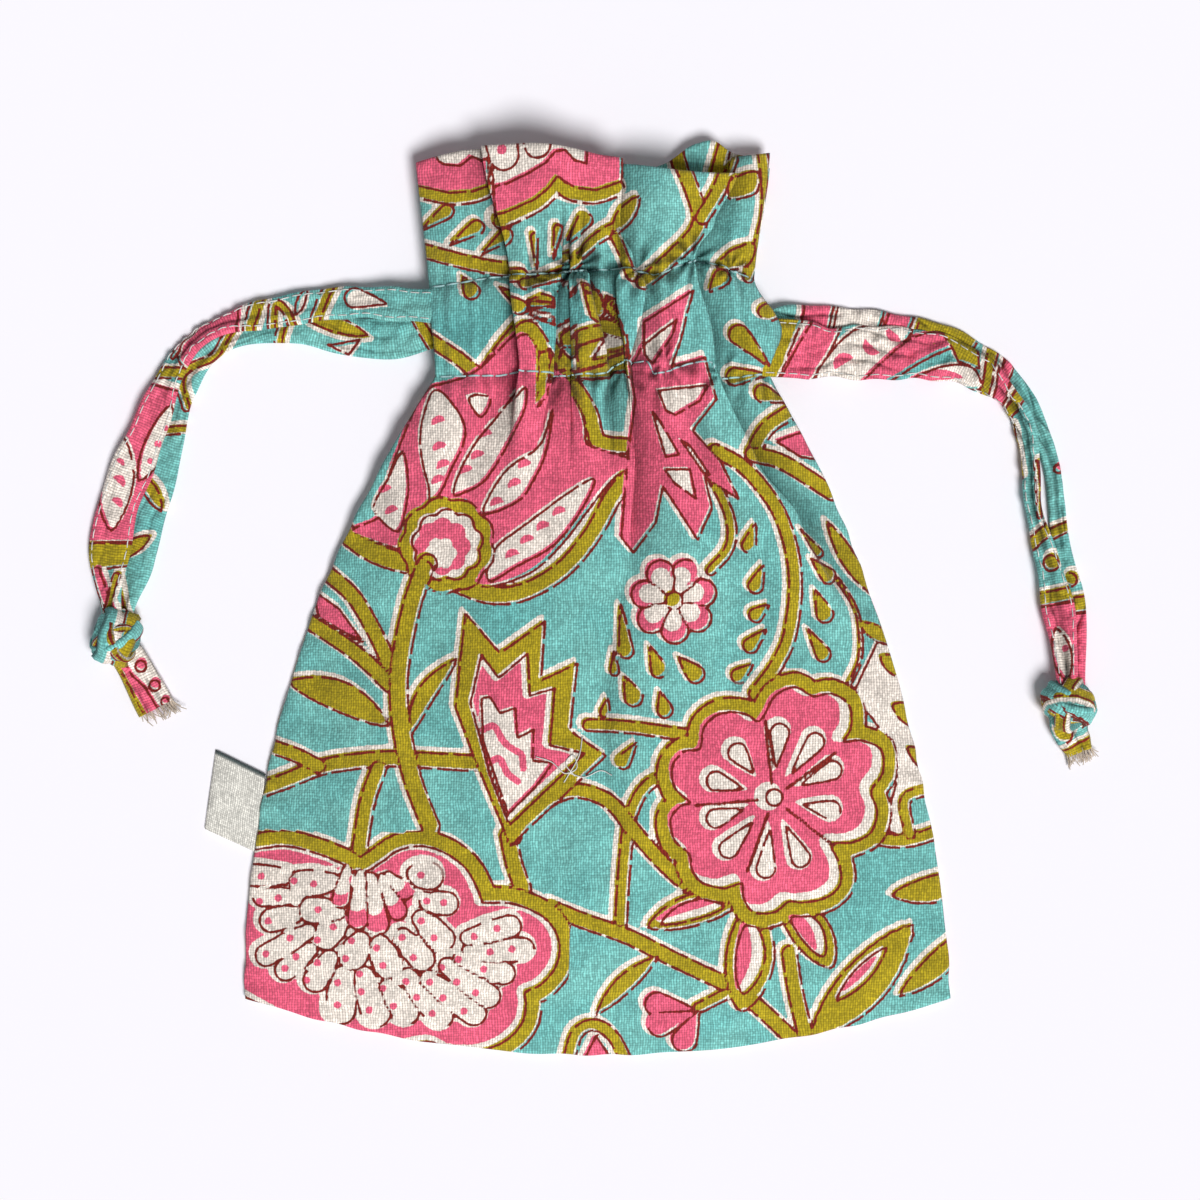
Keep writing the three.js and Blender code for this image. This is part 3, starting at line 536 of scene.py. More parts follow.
DROPS = [((33.8, 17), (32.4, 12.4), 1.6), ((35.6, 8), (33.9, 3.6), 1.7), ((36.8, -0.6), (34, -2.8), 1.6), ((36.2, -6), (32.8, -9.4), 1.7),
         ((33.2, -13.6), (30.2, -16), 1.7), ((9, 3), (10.6, -1.4), 1.5), ((4.4, -0.6), (5.6, -10.6), 1.6), ((3, -10.5), (3.1, -15), 1.0),
         ((10.8, -9.6), (12.7, -14.6), 1.8), ((17, -12), (20.6, -15.6), 2.0), ((5.3, -16.3), (7.2, -20.6), 2.0), ((13, -19.5), (14, -23.4), 1.7),
         ((1.6, -20.8), (1, -24), 1.1), ((7.8, -30.6), (5, -34.6), 1.6), ((43.8, 16), (48, 10.8), 1.0), ((46.2, 9.4), (50, 5.8), 1.8),
         ((47, 2.6), (49.2, -2.6), 1.9), ((45.4, -6), (48.8, -11.4), 1.7), ((-30, 71), (-28, 67.6), 1.8), ((-22, 68.6), (-17.4, 65.4), 1.6),
         ((37.1, 51.5), (30.2, 58.2), 2.2), ((36.5, 49.8), (29.4, 49.2), 1.9), ((41, 44), (35.6, 45.6), 2.0), ((23.8, 67.6), (26.4, 70.6), 1.9),
         ((-39.5, 81.5), (-33.6, 85.2), 1.6), ((-32.8, 78), (-27, 81.8), 1.6), ((-25.8, 76), (-20.6, 80.2), 1.5), ((-13.8, 74), (-14.4, 80), 0.8),
         ((-10.2, 76), (-9.2, 81.4), 0.9), ((-7.2, 78), (-3.4, 82.8), 1.7)]
ZIGZAG = [(61.5, -8), (56.5, -18), (54, -22.5), (59, -24.6), (63.3, -30.5), (65, -40), (62.4, -50), (68, -52), (66.3, -43.5), (77, -40),
          (77, -8)]
ZIGZAG_GREEN = [((56.8, -4.5), (66, -9.5), 3.2), ((61.8, -12), (69.5, -16.5), 4.2), ((64.4, -22.6), (73, -27.5), 4.4), ((67.6, -32), (76, -38), 3.8)]


def greenery():
    """Vines, leaves and teardrops between the flowers."""
    blocks = [fill(Patch(ZIGZAG, curved=False), "white", 0)]
    blocks += [olive(blade(tip, base, width), 0.0, 1) for tip, base, width in ZIGZAG_GREEN]
    blocks += [olive(vine(points, width)) for points, width in VINES]
    blocks += [olive(blade(tip, base, width, bend)) for tip, base, width, bend in LEAVES]
    blocks += [olive(drop(tip, heart, radius), HALO * 0.7) for tip, heart, radius in DROPS]
    blocks += [fill(blade((52, -88), (63, -76), 3.6), "white", 1), fill(blade((53.5, -86.5), (61.5, -78), 1.8), "pink"),
               fill(Patch([(38.5, 35.2), (46, 38), (52, 31), (44, 31.8)], curved=False), "pink", 0, 0.0, 0.8),
               fill(Patch([(-64, 3), (-57.5, -1.5), (-51.8, -9), (-62, -3.4)], curved=False), "pink", 0, 0.0, 0.8)]
    return blocks


BUD_FOOT = np.array([21.5, -90.0])


def buds():
    """The small pink buds by the bottom seam."""
    blocks = [olive(vine([(21.5, -89.2), (27.5, -86)], 2.4))]
    for tip in ((12.6, -88.4), (13.2, -93), (18.6, -96.5)):
        blocks.append(fill(drop(BUD_FOOT, tip, 2.8), "pink", 0, 0.0, HALO))
    blocks += [olive(vine([(-7, -101), (-5, -94.8), (-1, -93), (3, -96), (6, -102)], 2.6)),
               fill(Patch([(-4, -102), (-1, -95.5), (3, -102)], curved=False), "pink", 0, 0.0, HALO)]
    return blocks


BLOOM_LEFT = [(-44, 92.4), (-39.6, 91.2), (-33, 89.4), (-28, 89.7), (-24.4, 91.0), (-24.4, 106), (-44, 106)]
BLOOM_RIGHT = [(-22.9, 84.4), (-20.5, 84.9), (-14.4, 87.4), (-11.2, 89.8), (-9.3, 92.2), (-7.4, 90.8), (-5.4, 89.8), (-0.9, 89.4),
               (4.7, 91.4), (4.7, 106), (-24.2, 106)]
BLOOM_WHITE = [(-36.5, 99), (-35.4, 96.4), (-34, 95.6), (-30.6, 95.2), (-28, 97.4), (-25.7, 96.2), (-24.0, 96.6), (-23.1, 90.6), (-20.6, 91.0),
               (-15.4, 93.2), (-11.9, 95.0), (-9.8, 97.4), (-7.6, 97.8), (-5.6, 95.6), (-3.0, 95.0), (-2.6, 106), (-36.5, 106)]
EDGE_LEFT = [(-44, 91.6), (-39.6, 90.4), (-33, 88.6), (-28, 88.9), (-25.0, 90.0)]
EDGE_RIGHT = [(-21.8, 83.4), (-20.5, 83.7), (-14.4, 86.2), (-11.2, 88.6), (-9.3, 90.8), (-7.4, 89.4), (-5.4, 88.6), (-0.9, 88.2), (3.6, 89.8)]


def frill_print():
    """The edge of another flower, a vine and a forked stem, which the frill shows."""
    return [olive(vine([(-42, 78.2), (-31.7, 74.8), (-23.6, 73.0), (-17.2, 72.5)], 3.0)),
            olive(vine([(-16.3, 70.6), (-11.9, 71.7), (-8.1, 73.0), (-4.4, 75.2), (-0.7, 78.5), (3.0, 81.0)], 2.6)),
            olive(vine([(16.6, 98), (17.8, 94.6), (19.9, 89.3), (21.6, 84.0), (21.0, 80.8), (19.0, 78.1), (15.6, 74.9), (11.7, 71.3), (9.4, 69.8)], 3.2)),
            olive(vine([(28.6, 97), (27.1, 93.0), (25.3, 88.7), (22.2, 83.6)], 3.0)),
            olive(vine([(34.4, 101), (35.8, 97.2), (36.5, 86.5), (34.3, 76.3), (32.4, 71.0)], 2.3)),
            olive(Patch([(28.6, 92.4), (34.3, 94.2), (34.3, 89.9), (30.9, 88.4), (28.0, 88.7)])),
            olive(Patch([(25.3, 73.3), (28.6, 76.9), (33.7, 78.5), (32.6, 74.1), (28.1, 72.6)])),
            olive(blade((8.4, 88.2), (2.6, 80.2), 3.6)), olive(vine([(3.4, 79.0), (5.2, 75.0), (6.9, 71.0)], 2.2)),
            olive(vine(EDGE_LEFT, 3.4), 1.2), olive(vine(EDGE_RIGHT, 3.4), 1.2),
            fill(Patch(BLOOM_LEFT, curved=False), "pink", 1), fill(Patch(BLOOM_RIGHT, curved=False), "pink", 1),
            fill(Patch(BLOOM_WHITE, curved=False), "white", 2),
            fill(Stroke([(-22, 102), (-21, 97.2)], [3.6, 3.2]), "white", 1), fill(Stroke([(-14, 103), (-13.6, 99)], [3.6, 2.8]), "white", 1),
            fill(dot((-20.9, 98.0), 1.1), "pink")]


GATHER_GREEN = [[(-5.2, 59.0), (1.3, 60.8), (5.6, 58.7), (6.6, 49.4), (-4.6, 48.8)], [(-4.1, 69.7), (-2.4, 69.1), (1.0, 64.0), (0.7, 60.6), (-2.1, 61.8)],
                [(1.3, 65.7), (3.3, 64.9), (5.0, 58.4), (4.1, 59.0), (1.0, 62.9)], [(-15.6, 66.9), (-12.5, 68.3), (-10.0, 67.5), (-10.0, 65.3), (-15.4, 65.3)],
                [(-8.7, 56.0), (-5.2, 58.1), (-5.2, 53.3), (-8.3, 53.3)], [(-13.4, 55.4), (-11.0, 56.0), (-11.4, 46.4), (-13.6, 43.0)],
                [(-8.6, 52.4), (-5.0, 50.0), (-4.8, 48.6), (-9.6, 48.6)]]
GATHER_WHITE = [[(-15.5, 64.9), (-10.0, 63.5), (-10.0, 62.2), (-14.8, 63.5)], [(-8.8, 56.6), (-5.2, 58.8), (-5.2, 58.2), (-8.6, 55.9)],
                [(-9.2, 69.0), (-6.8, 67.2), (-4.8, 69.2), (-5.4, 67.4), (-7.4, 65.8)]]
GATHER_GROUND = [(-1.9, 52.9), (1.0, 57.3), (5.6, 56.0), (5.7, 54.5)]
GATHER_LINES = [[(-5.2, 55.6), (0.8, 57.6)], [(-4.6, 50.5), (1.0, 52.0), (6.4, 53.9)], [(-4.8, 48.9), (6.6, 49.4)], [(-15.4, 63.5), (-10.0, 61.5)],
                [(-15.6, 67.0), (-10.2, 66.2)], [(-3.4, 67.6), (-0.4, 66.6), (0.6, 63.4)], [(-9.4, 57.6), (-5.2, 60.4)], [(1.9, 64.6), (4.6, 60.6)]]


def gather_print():
    """Broken parts of vines and leaves, which the tight folds of the casing show."""
    blocks = [olive(Patch(part, curved=False), 0.3) for part in GATHER_GREEN]
    blocks += [fill(Patch(part, curved=False), "white", 1) for part in GATHER_WHITE]
    blocks += [fill(Patch(GATHER_GROUND, curved=False), "ground", 0, 0.0, 0.5)]
    blocks += [fill(Stroke(line, [0.1, 0.1]), None, 1) for line in GATHER_LINES]
    return blocks


DESIGN = (greenery() + frill_print() + lotus() + gather_print() + tulip() + shell() + star() + blossom() + round_flower() + buds())


def key_line(block, q):
    """Distance to a block's dark line, struck off register, and how far into one of its gaps a point lies."""
    edge, along = block.shape.measure(q - SLIP)
    period, gap = block.line
    turn = (along / period + float(block.shape.low.sum())) % 1.0
    return edge - block.grow, gap / 2 - np.minimum(turn, 1.0 - turn) * period


def print_on(u, v, design):
    """What lies at each point of the cloth, as distances in mm that are positive inside.

    halo is the undyed margin, green the vines, bloom the flowers, pink their pink parts. line is the
    distance to the nearest dark line, signed so that it changes sign across it, and gap is positive
    where the line is broken. Each block covers what was laid before it.
    """
    points = np.column_stack([np.ravel(u), np.ravel(v)])
    fields = {key: np.full(len(points), -FAR) for key in ("halo", "green", "bloom", "pink", "gap")}
    fields["line"] = np.full(len(points), FAR)
    halo, green, bloom, pink, gap, line = (fields[k] for k in ("halo", "green", "bloom", "pink", "gap", "line"))
    for block in design:
        near = (points > block.shape.low - FAR) & (points < block.shape.high + FAR)
        w = np.flatnonzero(near.all(1))
        if not len(w):
            continue
        edge = block.shape.measure(points[w])[0] - block.grow
        if block.halo:
            spread = block.shape.measure(points[w] - HALO_SLIP)[0] - block.grow
            halo[w] = np.maximum(halo[w], block.halo - spread)
        if block.ink == "olive":
            green[w] = np.maximum(green[w], -edge)
            bloom[w] = np.minimum(bloom[w], edge)
        elif block.ink == "ground":
            green[w] = np.minimum(green[w], edge)
            bloom[w] = np.minimum(bloom[w], edge)
        elif block.ink == "pink":
            bloom[w] = np.maximum(bloom[w], -edge)
            pink[w] = np.maximum(pink[w], -edge)
        elif block.ink == "white":
            bloom[w] = np.maximum(bloom[w], -edge)
            pink[w] = np.minimum(pink[w], edge)
        if block.line:
            away, broken = key_line(block, points[w])
            old = line[w]
            closer = away < np.abs(old)
            within = np.abs(away) * (1.0 if block.level % 2 else -1.0)
            line[w] = np.where(away < 0, within, np.sign(old) * np.minimum(np.abs(old), away))
            gap[w] = np.where(closer, broken, gap[w])
    return fields


# Meshes

def make_piece(name, points, faces, material, fields=None, cloth=None, flat=False):
    """A mesh object at the origin from points in mm, with float fields and cloth coordinates on its points."""
    mesh = bpy.data.meshes.new(name)
    mesh.from_pydata((np.asarray(points) * MM).tolist(), [], faces)
    mesh.polygons.foreach_set("use_smooth", np.full(len(mesh.polygons), not flat))
    for key, values in (fields or {}).items():
        data = mesh.attributes.new(key, "FLOAT", "POINT").data
        data.foreach_set("value", np.asarray(values, np.float32).ravel())
    if cloth is not None:
        corner = np.zeros(len(mesh.loops), np.int32)
        mesh.loops.foreach_get("vertex_index", corner)
        layer = mesh.uv_layers.new(name="cloth")
        layer.data.foreach_set("uv", (np.asarray(cloth)[corner] * 0.01).astype(np.float32).ravel())
    mesh.update()
    mesh.materials.append(material)
    piece = bpy.data.objects.new(name, mesh)
    bpy.context.scene.collection.objects.link(piece)
    return piece


def grid_faces(rows, columns, first=0, turned=False):
    """Four-sided faces of a grid of points, facing up when rows run to +Y and columns to +X."""
    i, j = np.meshgrid(np.arange(rows - 1), np.arange(columns - 1), indexing="ij")
    a = (first + i * columns + j).ravel()
    quads = np.column_stack([a, a + 1, a + 1 + columns, a + columns])
    return (quads[:, ::-1] if turned else quads).tolist()


def shell_faces(shape, inner_shape, turned=False):
    """Faces of a thin shell: a fine outer grid, a coarser inner grid, and rims that join their borders."""
    rows, columns = shape
    inner_rows, inner_columns = inner_shape
    down = (rows - 1) // (inner_rows - 1)
    across = (columns - 1) // (inner_columns - 1)
    outer = np.arange(rows * columns).reshape(shape)
    inner = np.arange(inner_rows * inner_columns).reshape(inner_shape) + rows * columns
    faces = grid_faces(rows, columns)
    faces += grid_faces(inner_rows, inner_columns, rows * columns, turned=True)

    def rim(outer_edge, inner_edge, step, forward):
        for k in range(len(inner_edge) - 1):
            run = outer_edge[k * step:(k + 1) * step + 1].tolist()
            pair = [int(inner_edge[k + 1]), int(inner_edge[k])]
            face = run + pair
            faces.append(face if forward else face[::-1])

    rim(outer[0], inner[0], across, False)
    rim(outer[-1], inner[-1], across, True)
    rim(outer[:, 0], inner[:, 0], down, True)
    rim(outer[:, -1], inner[:, -1], down, False)
    return [face[::-1] for face in faces] if turned else faces


CREASE_PITCH = 3.3


def crease_lines(along, across, seed):
    """Distance, as a share, from the nearest of the creases that wander down a tape and fade in and out."""
    wander = 1.7 * ruffle(along, 0.0, 30.0, seed) + 0.35 * ruffle(along, 0.0, 9.0, seed + 2)
    present = smooth(0.85 + 0.8 * ruffle(along * 0.45, across, 10.0, seed + 3))
    return np.abs(np.sin(math.pi * across / CREASE_PITCH + wander)) + 1.0 - present


def crumpled(along, across, seed):
    """Height of a stitched tape's crumples: rounded folds between sharp creases, swells and fine ripples."""
    rounded = np.sqrt(np.minimum(crease_lines(along, across, seed), 1.0)) - 0.8
    swells = ruffle(along * 1.6, across * 1.2, 5.0, seed + 5)
    return 0.95 * rounded + 0.24 * swells + 0.08 * ruffle(along, across, 2.2, seed + 9)


def creased_dark(along, across, seed):
    """Painted shade in the creases of a tape."""
    return 1.0 - smooth(crease_lines(along, across, seed) / 0.5)


def oblong(sides):
    """Section of a flat tape: evenly spaced over its upper side from 1 to -1, then back along its lower side."""
    over = np.linspace(1.0, -1.0, sides // 2 + 1)
    wide = np.concatenate([over, over[-2:0:-1]])
    high = np.sqrt(np.maximum(0.0, 1.0 - wide ** 4))
    high[len(over):] *= -1.0
    return wide, high


def ribbon(path, widths, thick, roll=0.0, sides=14, crease=0.0, seed=None, crumple=1.0):
    """A flat tape carried along a path: a rounded oblong section, turned about the path by roll.

    A crease sinks its middle line, and a seed crumples its upper side by the share crumple. Returns the points, the
    faces, the length along, the distance across and the painted shade of the creases at each point, and the path's
    frame.
    """
    count = len(path)
    ahead = np.gradient(path, axis=0)
    ahead /= np.linalg.norm(ahead, axis=1)[:, None]
    level = np.cross(np.array([0.0, 0.0, 1.0]), ahead)
    level /= np.linalg.norm(level, axis=1)[:, None]
    up = np.cross(ahead, level)
    roll = np.broadcast_to(roll, count)[:, None]
    side = level * np.cos(roll) + up * np.sin(roll)
    face = up * np.cos(roll) - level * np.sin(roll)
    wide, high = oblong(sides)
    widths = np.broadcast_to(widths, count)
    thick = np.broadcast_to(thick, count)
    across = wide[None, :] * widths[:, None] / 2
    along = np.broadcast_to(run_of(path)[:, None], across.shape)
    sunk = np.broadcast_to(crease, count)[:, None] * bell(wide[None, :] / 0.25)
    lift = high[None, :] * thick[:, None] / 2 - sunk
    # Painted shade: the sunk middle line and the crumples' creases are darkened in the colour.
    sunk = np.minimum(1.1 * sunk, 0.9)
    if seed is not None:
        lift = lift + crumple * np.maximum(high, 0.0)[None, :] * crumpled(along, across, seed)
        sunk = np.maximum(sunk, np.minimum(crumple, 1.0) * creased_dark(along, across, seed))
    points = path[:, None, :] + side[:, None, :] * across[..., None] + face[:, None, :] * lift[..., None]
    a = np.arange(count - 1)[:, None] * sides + np.arange(sides)[None, :]
    b = np.arange(count - 1)[:, None] * sides + (np.arange(sides)[None, :] + 1) % sides
    quads = np.stack([a, b, b + sides, a + sides], -1).reshape(-1, 4).tolist()
    first = list(range(sides))
    last = [(count - 1) * sides + k for k in range(sides)]
    faces = quads + [first[::-1], last]
    return points.reshape(-1, 3), faces, along.ravel(), across.ravel(), sunk.ravel(), (side, face, widths, thick)


def tubes(paths, radius, sides=6):
    """Thin round threads along several paths, as one set of points and faces."""
    all_points, all_faces, first = [], [], 0
    for path in paths:
        points, faces, _, _, _, _ = ribbon(np.asarray(path), 2 * radius, 2 * radius, sides=sides)
        all_points.append(points)
        all_faces += [[first + k for k in face] for face in faces]
        first += len(points)
    return np.vstack(all_points), all_faces


def stitches(path, normals, length, gap, radius, arch=0.12):
    """Thread paths of a running stitch: short arches along a path, standing a little off the cloth."""
    run = run_of(path)
    starts = np.arange(gap, run[-1] - length, length + gap)
    t = np.linspace(0.0, 1.0, 6)
    made = []
    for start in starts:
        s = start + t * length
        spot = np.column_stack([np.interp(s, run, path[:, k]) for k in range(3)])
        off = np.column_stack([np.interp(s, run, normals[:, k]) for k in range(3)])
        made.append(spot + off * (radius * 0.4 + (arch + radius) * np.sin(math.pi * t))[:, None] - off * radius * 0.6)
    return made


# The cloth of the two panels

CLOTH = 0.6
BASE_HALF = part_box("front_panel")[1].x / MM
NECK_HALF = 37.5
MOUTH_HALF = 39.5
NECK_Y = 50.0
BODY_DROP = 138.0
BASE_SAG = 12.5
CASING = 20.0
FRILL = 26.1
FRILL_WAVE = 3.1
FRILL_WAVE_PITCH = 2.94
FRILL_WAVE_AT = 0.07
CORNER_RISE = 3.4
SEAM_WAVE = 0.17
CROWN = 11.5
CROWN_RUN = 0.4
MOUTH_GAP = 5.5
SEAM_GAP_AT_NECK = 0.4
FRONT_EDGE = 1.5
NECK_FLOOR = 4.1
CHANNEL = 1.5
CREASE = 1.3
CREASE_WIDTH = 0.045
CREASE_PLACES = ([0.1, 0.25, 0.44, 0.51, 0.58, 0.65, 0.71, 0.80, 0.90], [0.05, 0.045, 0.027, 0.028, 0.046, 0.072, 0.102, 0.142, 0.168])
# Darkness of the painted shade beside the middle crease
CREASE_SHADE = 0.42
LOBE_BORDERS = [-1.0, -0.6, 0.12, 0.77, 1.0]
LOBE_HEIGHTS = [2.0, 4.2, 3.7, 1.8]

Fold = namedtuple("Fold", "rows places over lap rise width span tube")
FOLDS = [
    Fold([0.5, 1.0, 2.0, 3.0], [-0.33, -0.43, -0.49, -0.62], 1, 2.2, 2.0, 0.040, (0.84, 1.0, 9.0, 9.1), 2.6),
    Fold([0.7, 1.0, 1.5, 2.0, 2.5], [-0.24, -0.275, -0.26, -0.22, -0.20], -1, 1.8, 1.9, 0.032, (0.86, 1.0, 2.15, 2.5), 3.3),
    Fold([0.7, 1.0, 2.0, 2.5], [-0.12, -0.135, -0.15, -0.14], 1, 1.7, 1.8, 0.030, (0.87, 1.0, 2.1, 2.5), 3.3),
    Fold([1.0, 1.15, 1.9, 2.1], [0.06, 0.035, -0.055, -0.08], -1, 1.5, 1.6, 0.028, (0.92, 1.1, 2.0, 2.3), 3.0),
    Fold([0.6, 1.0, 2.0, 2.5], [0.085, 0.125, 0.115, 0.05], 1, 1.6, 1.8, 0.030, (0.82, 1.0, 1.9, 2.2), 3.0),
    Fold([0.5, 0.6, 0.75, 0.9, 1.0, 1.8, 2.0, 2.4, 3.0], [0.09, 0.10, 0.127, 0.16, 0.195, 0.25, 0.20, 0.10, 0.115],
         -1, 2.2, 2.8, 0.038, (0.56, 0.86, 9.0, 9.1), 2.0),
    Fold([0.55, 0.77, 0.86, 1.0, 2.0, 2.5, 3.0], [0.93, 0.82, 0.72, 0.66, 0.55, 0.66, 0.78], -1, 2.0, 3.0, 0.045,
         (0.50, 0.82, 9.0, 9.1), 1.8),
]
LEFT_TUBE = 1.2
GATHER = 0.95
GATHER_PITCH = 1.55
WRINKLES = [(-0.72, 0.5, 0.07), (-0.55, -0.7, 0.05), (-0.36, 0.7, 0.05), (-0.20, -0.8, 0.045), (-0.04, 0.7, 0.05), (0.36, 0.9, 0.07),
            (0.52, -0.9, 0.05), (0.84, 0.5, 0.07)]
LOW_ROW = ([-1.0, -0.6, -0.45, -0.2, 0.0, 0.14, 0.2, 0.29, 0.33, 0.59, 0.72, 1.0],
           [-1.0, -1.0, 0.0, -1.2, -0.9, 2.1, 1.3, 2.0, -0.7, 1.9, -1.6, -0.5])
HIGH_ROW = ([-1.0, -0.45, 0.23, 0.33, 0.56, 0.77, 0.87, 1.0], [-1.4, 0.8, 2.0, 0.8, 4.1, 3.3, 1.7, 0.5])


def half_width(r):
    """Half the panel's width: narrowing to the neck, straight in the casing, a little wider at the mouth."""
    body = mix(BASE_HALF, NECK_HALF, np.clip(r, 0.0, 1.0) ** 2)
    return np.where(r <= 1.0, body, mix(NECK_HALF, MOUTH_HALF, np.clip(r - 2.0, 0.0, 1.0)))


def side_drift(a, r):
    """How far the two sides stray from even: a pinched upper row on the right, a bulging casing end."""
    right = through(r, [0.0, 0.35, 1.0, 1.45, 2.0, 3.0], [-0.8, -2.0, 0.0, 2.8, -3.2, -1.7])
    left = through(r, [0.0, 0.6, 1.0, 2.0, 3.0], [0.4, 0.0, 1.8, 0.4, -0.5])
    wavy = SEAM_WAVE * np.sin(58.0 * r + 3.0 * np.sin(17.0 * r) + 1.5 * np.sign(a)) * a ** 9 * (r < 1.0)
    return right * smooth((a - 0.45) / 0.55) + left * smooth((-a - 0.45) / 0.55) + wavy


def front_top(a):
    """Height of the front frill over the upper stitches."""
    corner = CORNER_RISE * smooth((a - 0.77) / 0.06)
    return FRILL - FRILL_WAVE * np.sin(FRILL_WAVE_PITCH * (a - FRILL_WAVE_AT)) + corner


def back_top(a):
    """Height of the back frill: low behind the front, standing up at the right."""
    shelf = 2.4 * smooth((a - 0.55) / 0.15) * (1.0 - smooth((a - 0.85) / 0.15))
    return 25.0 + 5.5 * bell((a - 0.57) / 0.16) + shelf


def plan_y(a, r, frill):
    """Distance up the panel: sagging bottom seam, drop of the body, casing, then the frill."""
    body = np.maximum(0.0, 1.0 - r)
    y = NECK_Y - BODY_DROP * body - BASE_SAG * body ** 1.6 * (1.0 - a * a)
    y = y + SEAM_WAVE * np.sin(31.0 * a + 2.0 * np.sin(9.0 * a)) * body ** 12
    return y + CASING * np.clip(r - 1.0, 0.0, 1.0) + frill * np.clip(r - 2.0, 0.0, 1.0)


def front_plan(a, r):
    """Distance up the front panel, whose two stitch rows wander up and down as the cloth is gathered."""
    low = through(a, *LOW_ROW) * np.where(r < 1.0, smooth((r - 0.84) / 0.16), 1.0 - smooth(r - 1.0))
    high = through(a, *HIGH_ROW) * np.where(r < 2.0, smooth(r - 1.0), 1.0 - smooth((r - 2.0) / 0.7))
    return plan_y(a, r, front_top(a)) + low + high


def neck_arch(a):
    """Floor of the front's facing: an arch that leaves the mouth open."""
    return NECK_FLOOR + mix(SEAM_GAP_AT_NECK, MOUTH_GAP, 1.0 - a * a)


def creases(a, r):
    """Long creases that run down from the neck: a sharp one in the middle, two soft ones towards the right side."""
    middle = np.exp(-np.abs(a - through(r, *CREASE_PLACES)) / CREASE_WIDTH) * smooth((r - 0.15) / 0.35)
    second = bell((a - 0.56 - 1.1 * (1.0 - r)) / CREASE_WIDTH) * smooth((r - 0.62) / 0.2)
    third = 0.6 * bell((a - 0.44 - 0.5 * (1.0 - r)) / CREASE_WIDTH) * smooth((r - 0.45) / 0.3)
    return CREASE * (middle + second + third) * smooth((1.0 - r) / 0.12)


def crease_shade(a, r):
    """Painted shade beside the middle crease: sharp at its bottom line, fading to the right."""
    right = a - through(r, *CREASE_PLACES)
    fading = smooth(0.5 + right / 0.012) * np.exp(-np.maximum(right, 0.0) / CREASE_WIDTH)
    return CREASE_SHADE * fading * smooth((r - 0.2) / 0.35) * (1.0 - smooth((r - 0.8) / 0.12))


def frill_lobes(a):
    """Height of the frill's soft tubes between their valleys."""
    borders = np.array(LOBE_BORDERS)
    k = np.clip(np.searchsorted(borders, a) - 1, 0, len(borders) - 2)
    t = (a - borders[k]) / (borders[k + 1] - borders[k])
    return np.array(LOBE_HEIGHTS)[k] * (0.5 - 0.5 * np.cos(math.tau * t)) ** 0.7


def fold_reach(fold, r):
    """Strength of a fold along the panel: it fades in and out over the rows of its span."""
    start, full, hold, end = fold.span
    return smooth((r - start) / (full - start)) * (1.0 - smooth((r - hold) / (end - hold)))


def folded(a, r):
    """Sideways and upward shift of the pleats: each is an S whose upper edge lies over its neighbour."""
    aside = np.zeros(a.shape)
    lift = np.zeros(a.shape)
    for fold in FOLDS:
        t = (a - through(r, fold.rows, fold.places)) / fold.width
        reach = fold_reach(fold, r)
        aside = aside - fold.lap * reach * t * np.exp(0.5 - 0.5 * t * t)
        lift = lift + fold.over * fold.rise / 2 * reach * np.tanh(1.4 * t) * np.exp(-(t / 3.5) ** 2)
    return aside, lift


def tubed(a, r):
    """Roundness of the cloth between two neighbouring pleats, strongest in the casing."""
    borders = [np.full(a.shape, -1.0)] + [through(r, f.rows, f.places) for f in FOLDS] + [np.full(a.shape, 1.0)]
    heights = [LEFT_TUBE] + [f.tube for f in FOLDS]
    in_body = smooth((r - 0.80) / 0.20) * 0.6
    in_casing = 0.6 + 0.4 * bulge(np.clip(r - 1.0, 0.0, 1.0))
    in_frill = 0.6 * (1.0 - smooth((r - 2.0) / 0.7))
    reach = np.where(r < 1.0, in_body, np.where(r < 2.0, in_casing, in_frill))
    rise = np.zeros(a.shape)
    for left, right, height in zip(borders[:-1], borders[1:], heights):
        t = np.clip((a - left) / np.maximum(right - left, 1e-6), 0.0, 1.0)
        rise = rise + 1.2 * height * (4.0 * t * (1.0 - t)) ** 0.9
    pinch = bell((r - 1.0) / np.where(r < 1.0, 0.014, 0.09)) + bell((r - 2.0) / 0.09)
    return rise * reach * (1.0 - 0.45 * pinch)


def seam_puckers(a, r, x, y):
    """Small ripples along the side seams and the two stitch rows."""
    near_side = smooth((np.abs(a) - 0.86) / 0.14) * smooth((1.02 - r) / 0.1)
    rows = bell((r - 1.0) / 0.05) + bell((r - 2.0) / 0.06)
    return 0.35 * near_side * np.sin(y / 1.3 + 2.0 * np.sin(y / 7.0)) + 0.22 * rows * np.sin(x / 0.42)


def gathered(a, r, x):
    """Fine ridges that run out of the two stitch rows, strongest in the middle."""
    in_casing = 0.55 + 0.45 * np.abs(2.0 * np.clip(r - 1.0, 0.0, 1.0) - 1.0) ** 2
    reach = np.where(r < 1.0, smooth((r - 0.90) / 0.10), np.where(r < 2.0, in_casing, 1.0 - smooth((r - 2.0) / 0.45)))
    ridges = 0.6 * np.sin(GATHER_PITCH * x + 0.8 * np.sin(0.31 * x)) + 0.4 * np.sin(1.5 * GATHER_PITCH * x + 1.0)
    return GATHER * ridges * reach * (0.5 + 0.5 * bell((a + 0.08) / 0.42))


PUCKERS = [(-5.1, 72.2, 1.0, 9, 0.3, 8.0), (8.9, 71.8, 0.75, 8, 1.4, 7.0), (20.5, 74.1, 0.75, 8, 2.2, 6.5), (-9.6, 69.0, 0.6, 7, 0.9, 5.0),
           (-7.3, 49.5, 0.7, 8, 0.0, 6.0), (5.6, 50.2, 0.8, 9, 0.8, 7.0), (14.6, 51.6, 0.6, 8, 2.0, 6.0), (27.4, 49.5, 0.5, 8, 1.0, 5.5),
           (-15.5, 71.0, 0.5, 7, 1.0, 5.5), (29.0, 72.6, 0.6, 8, 0.5, 5.5)]


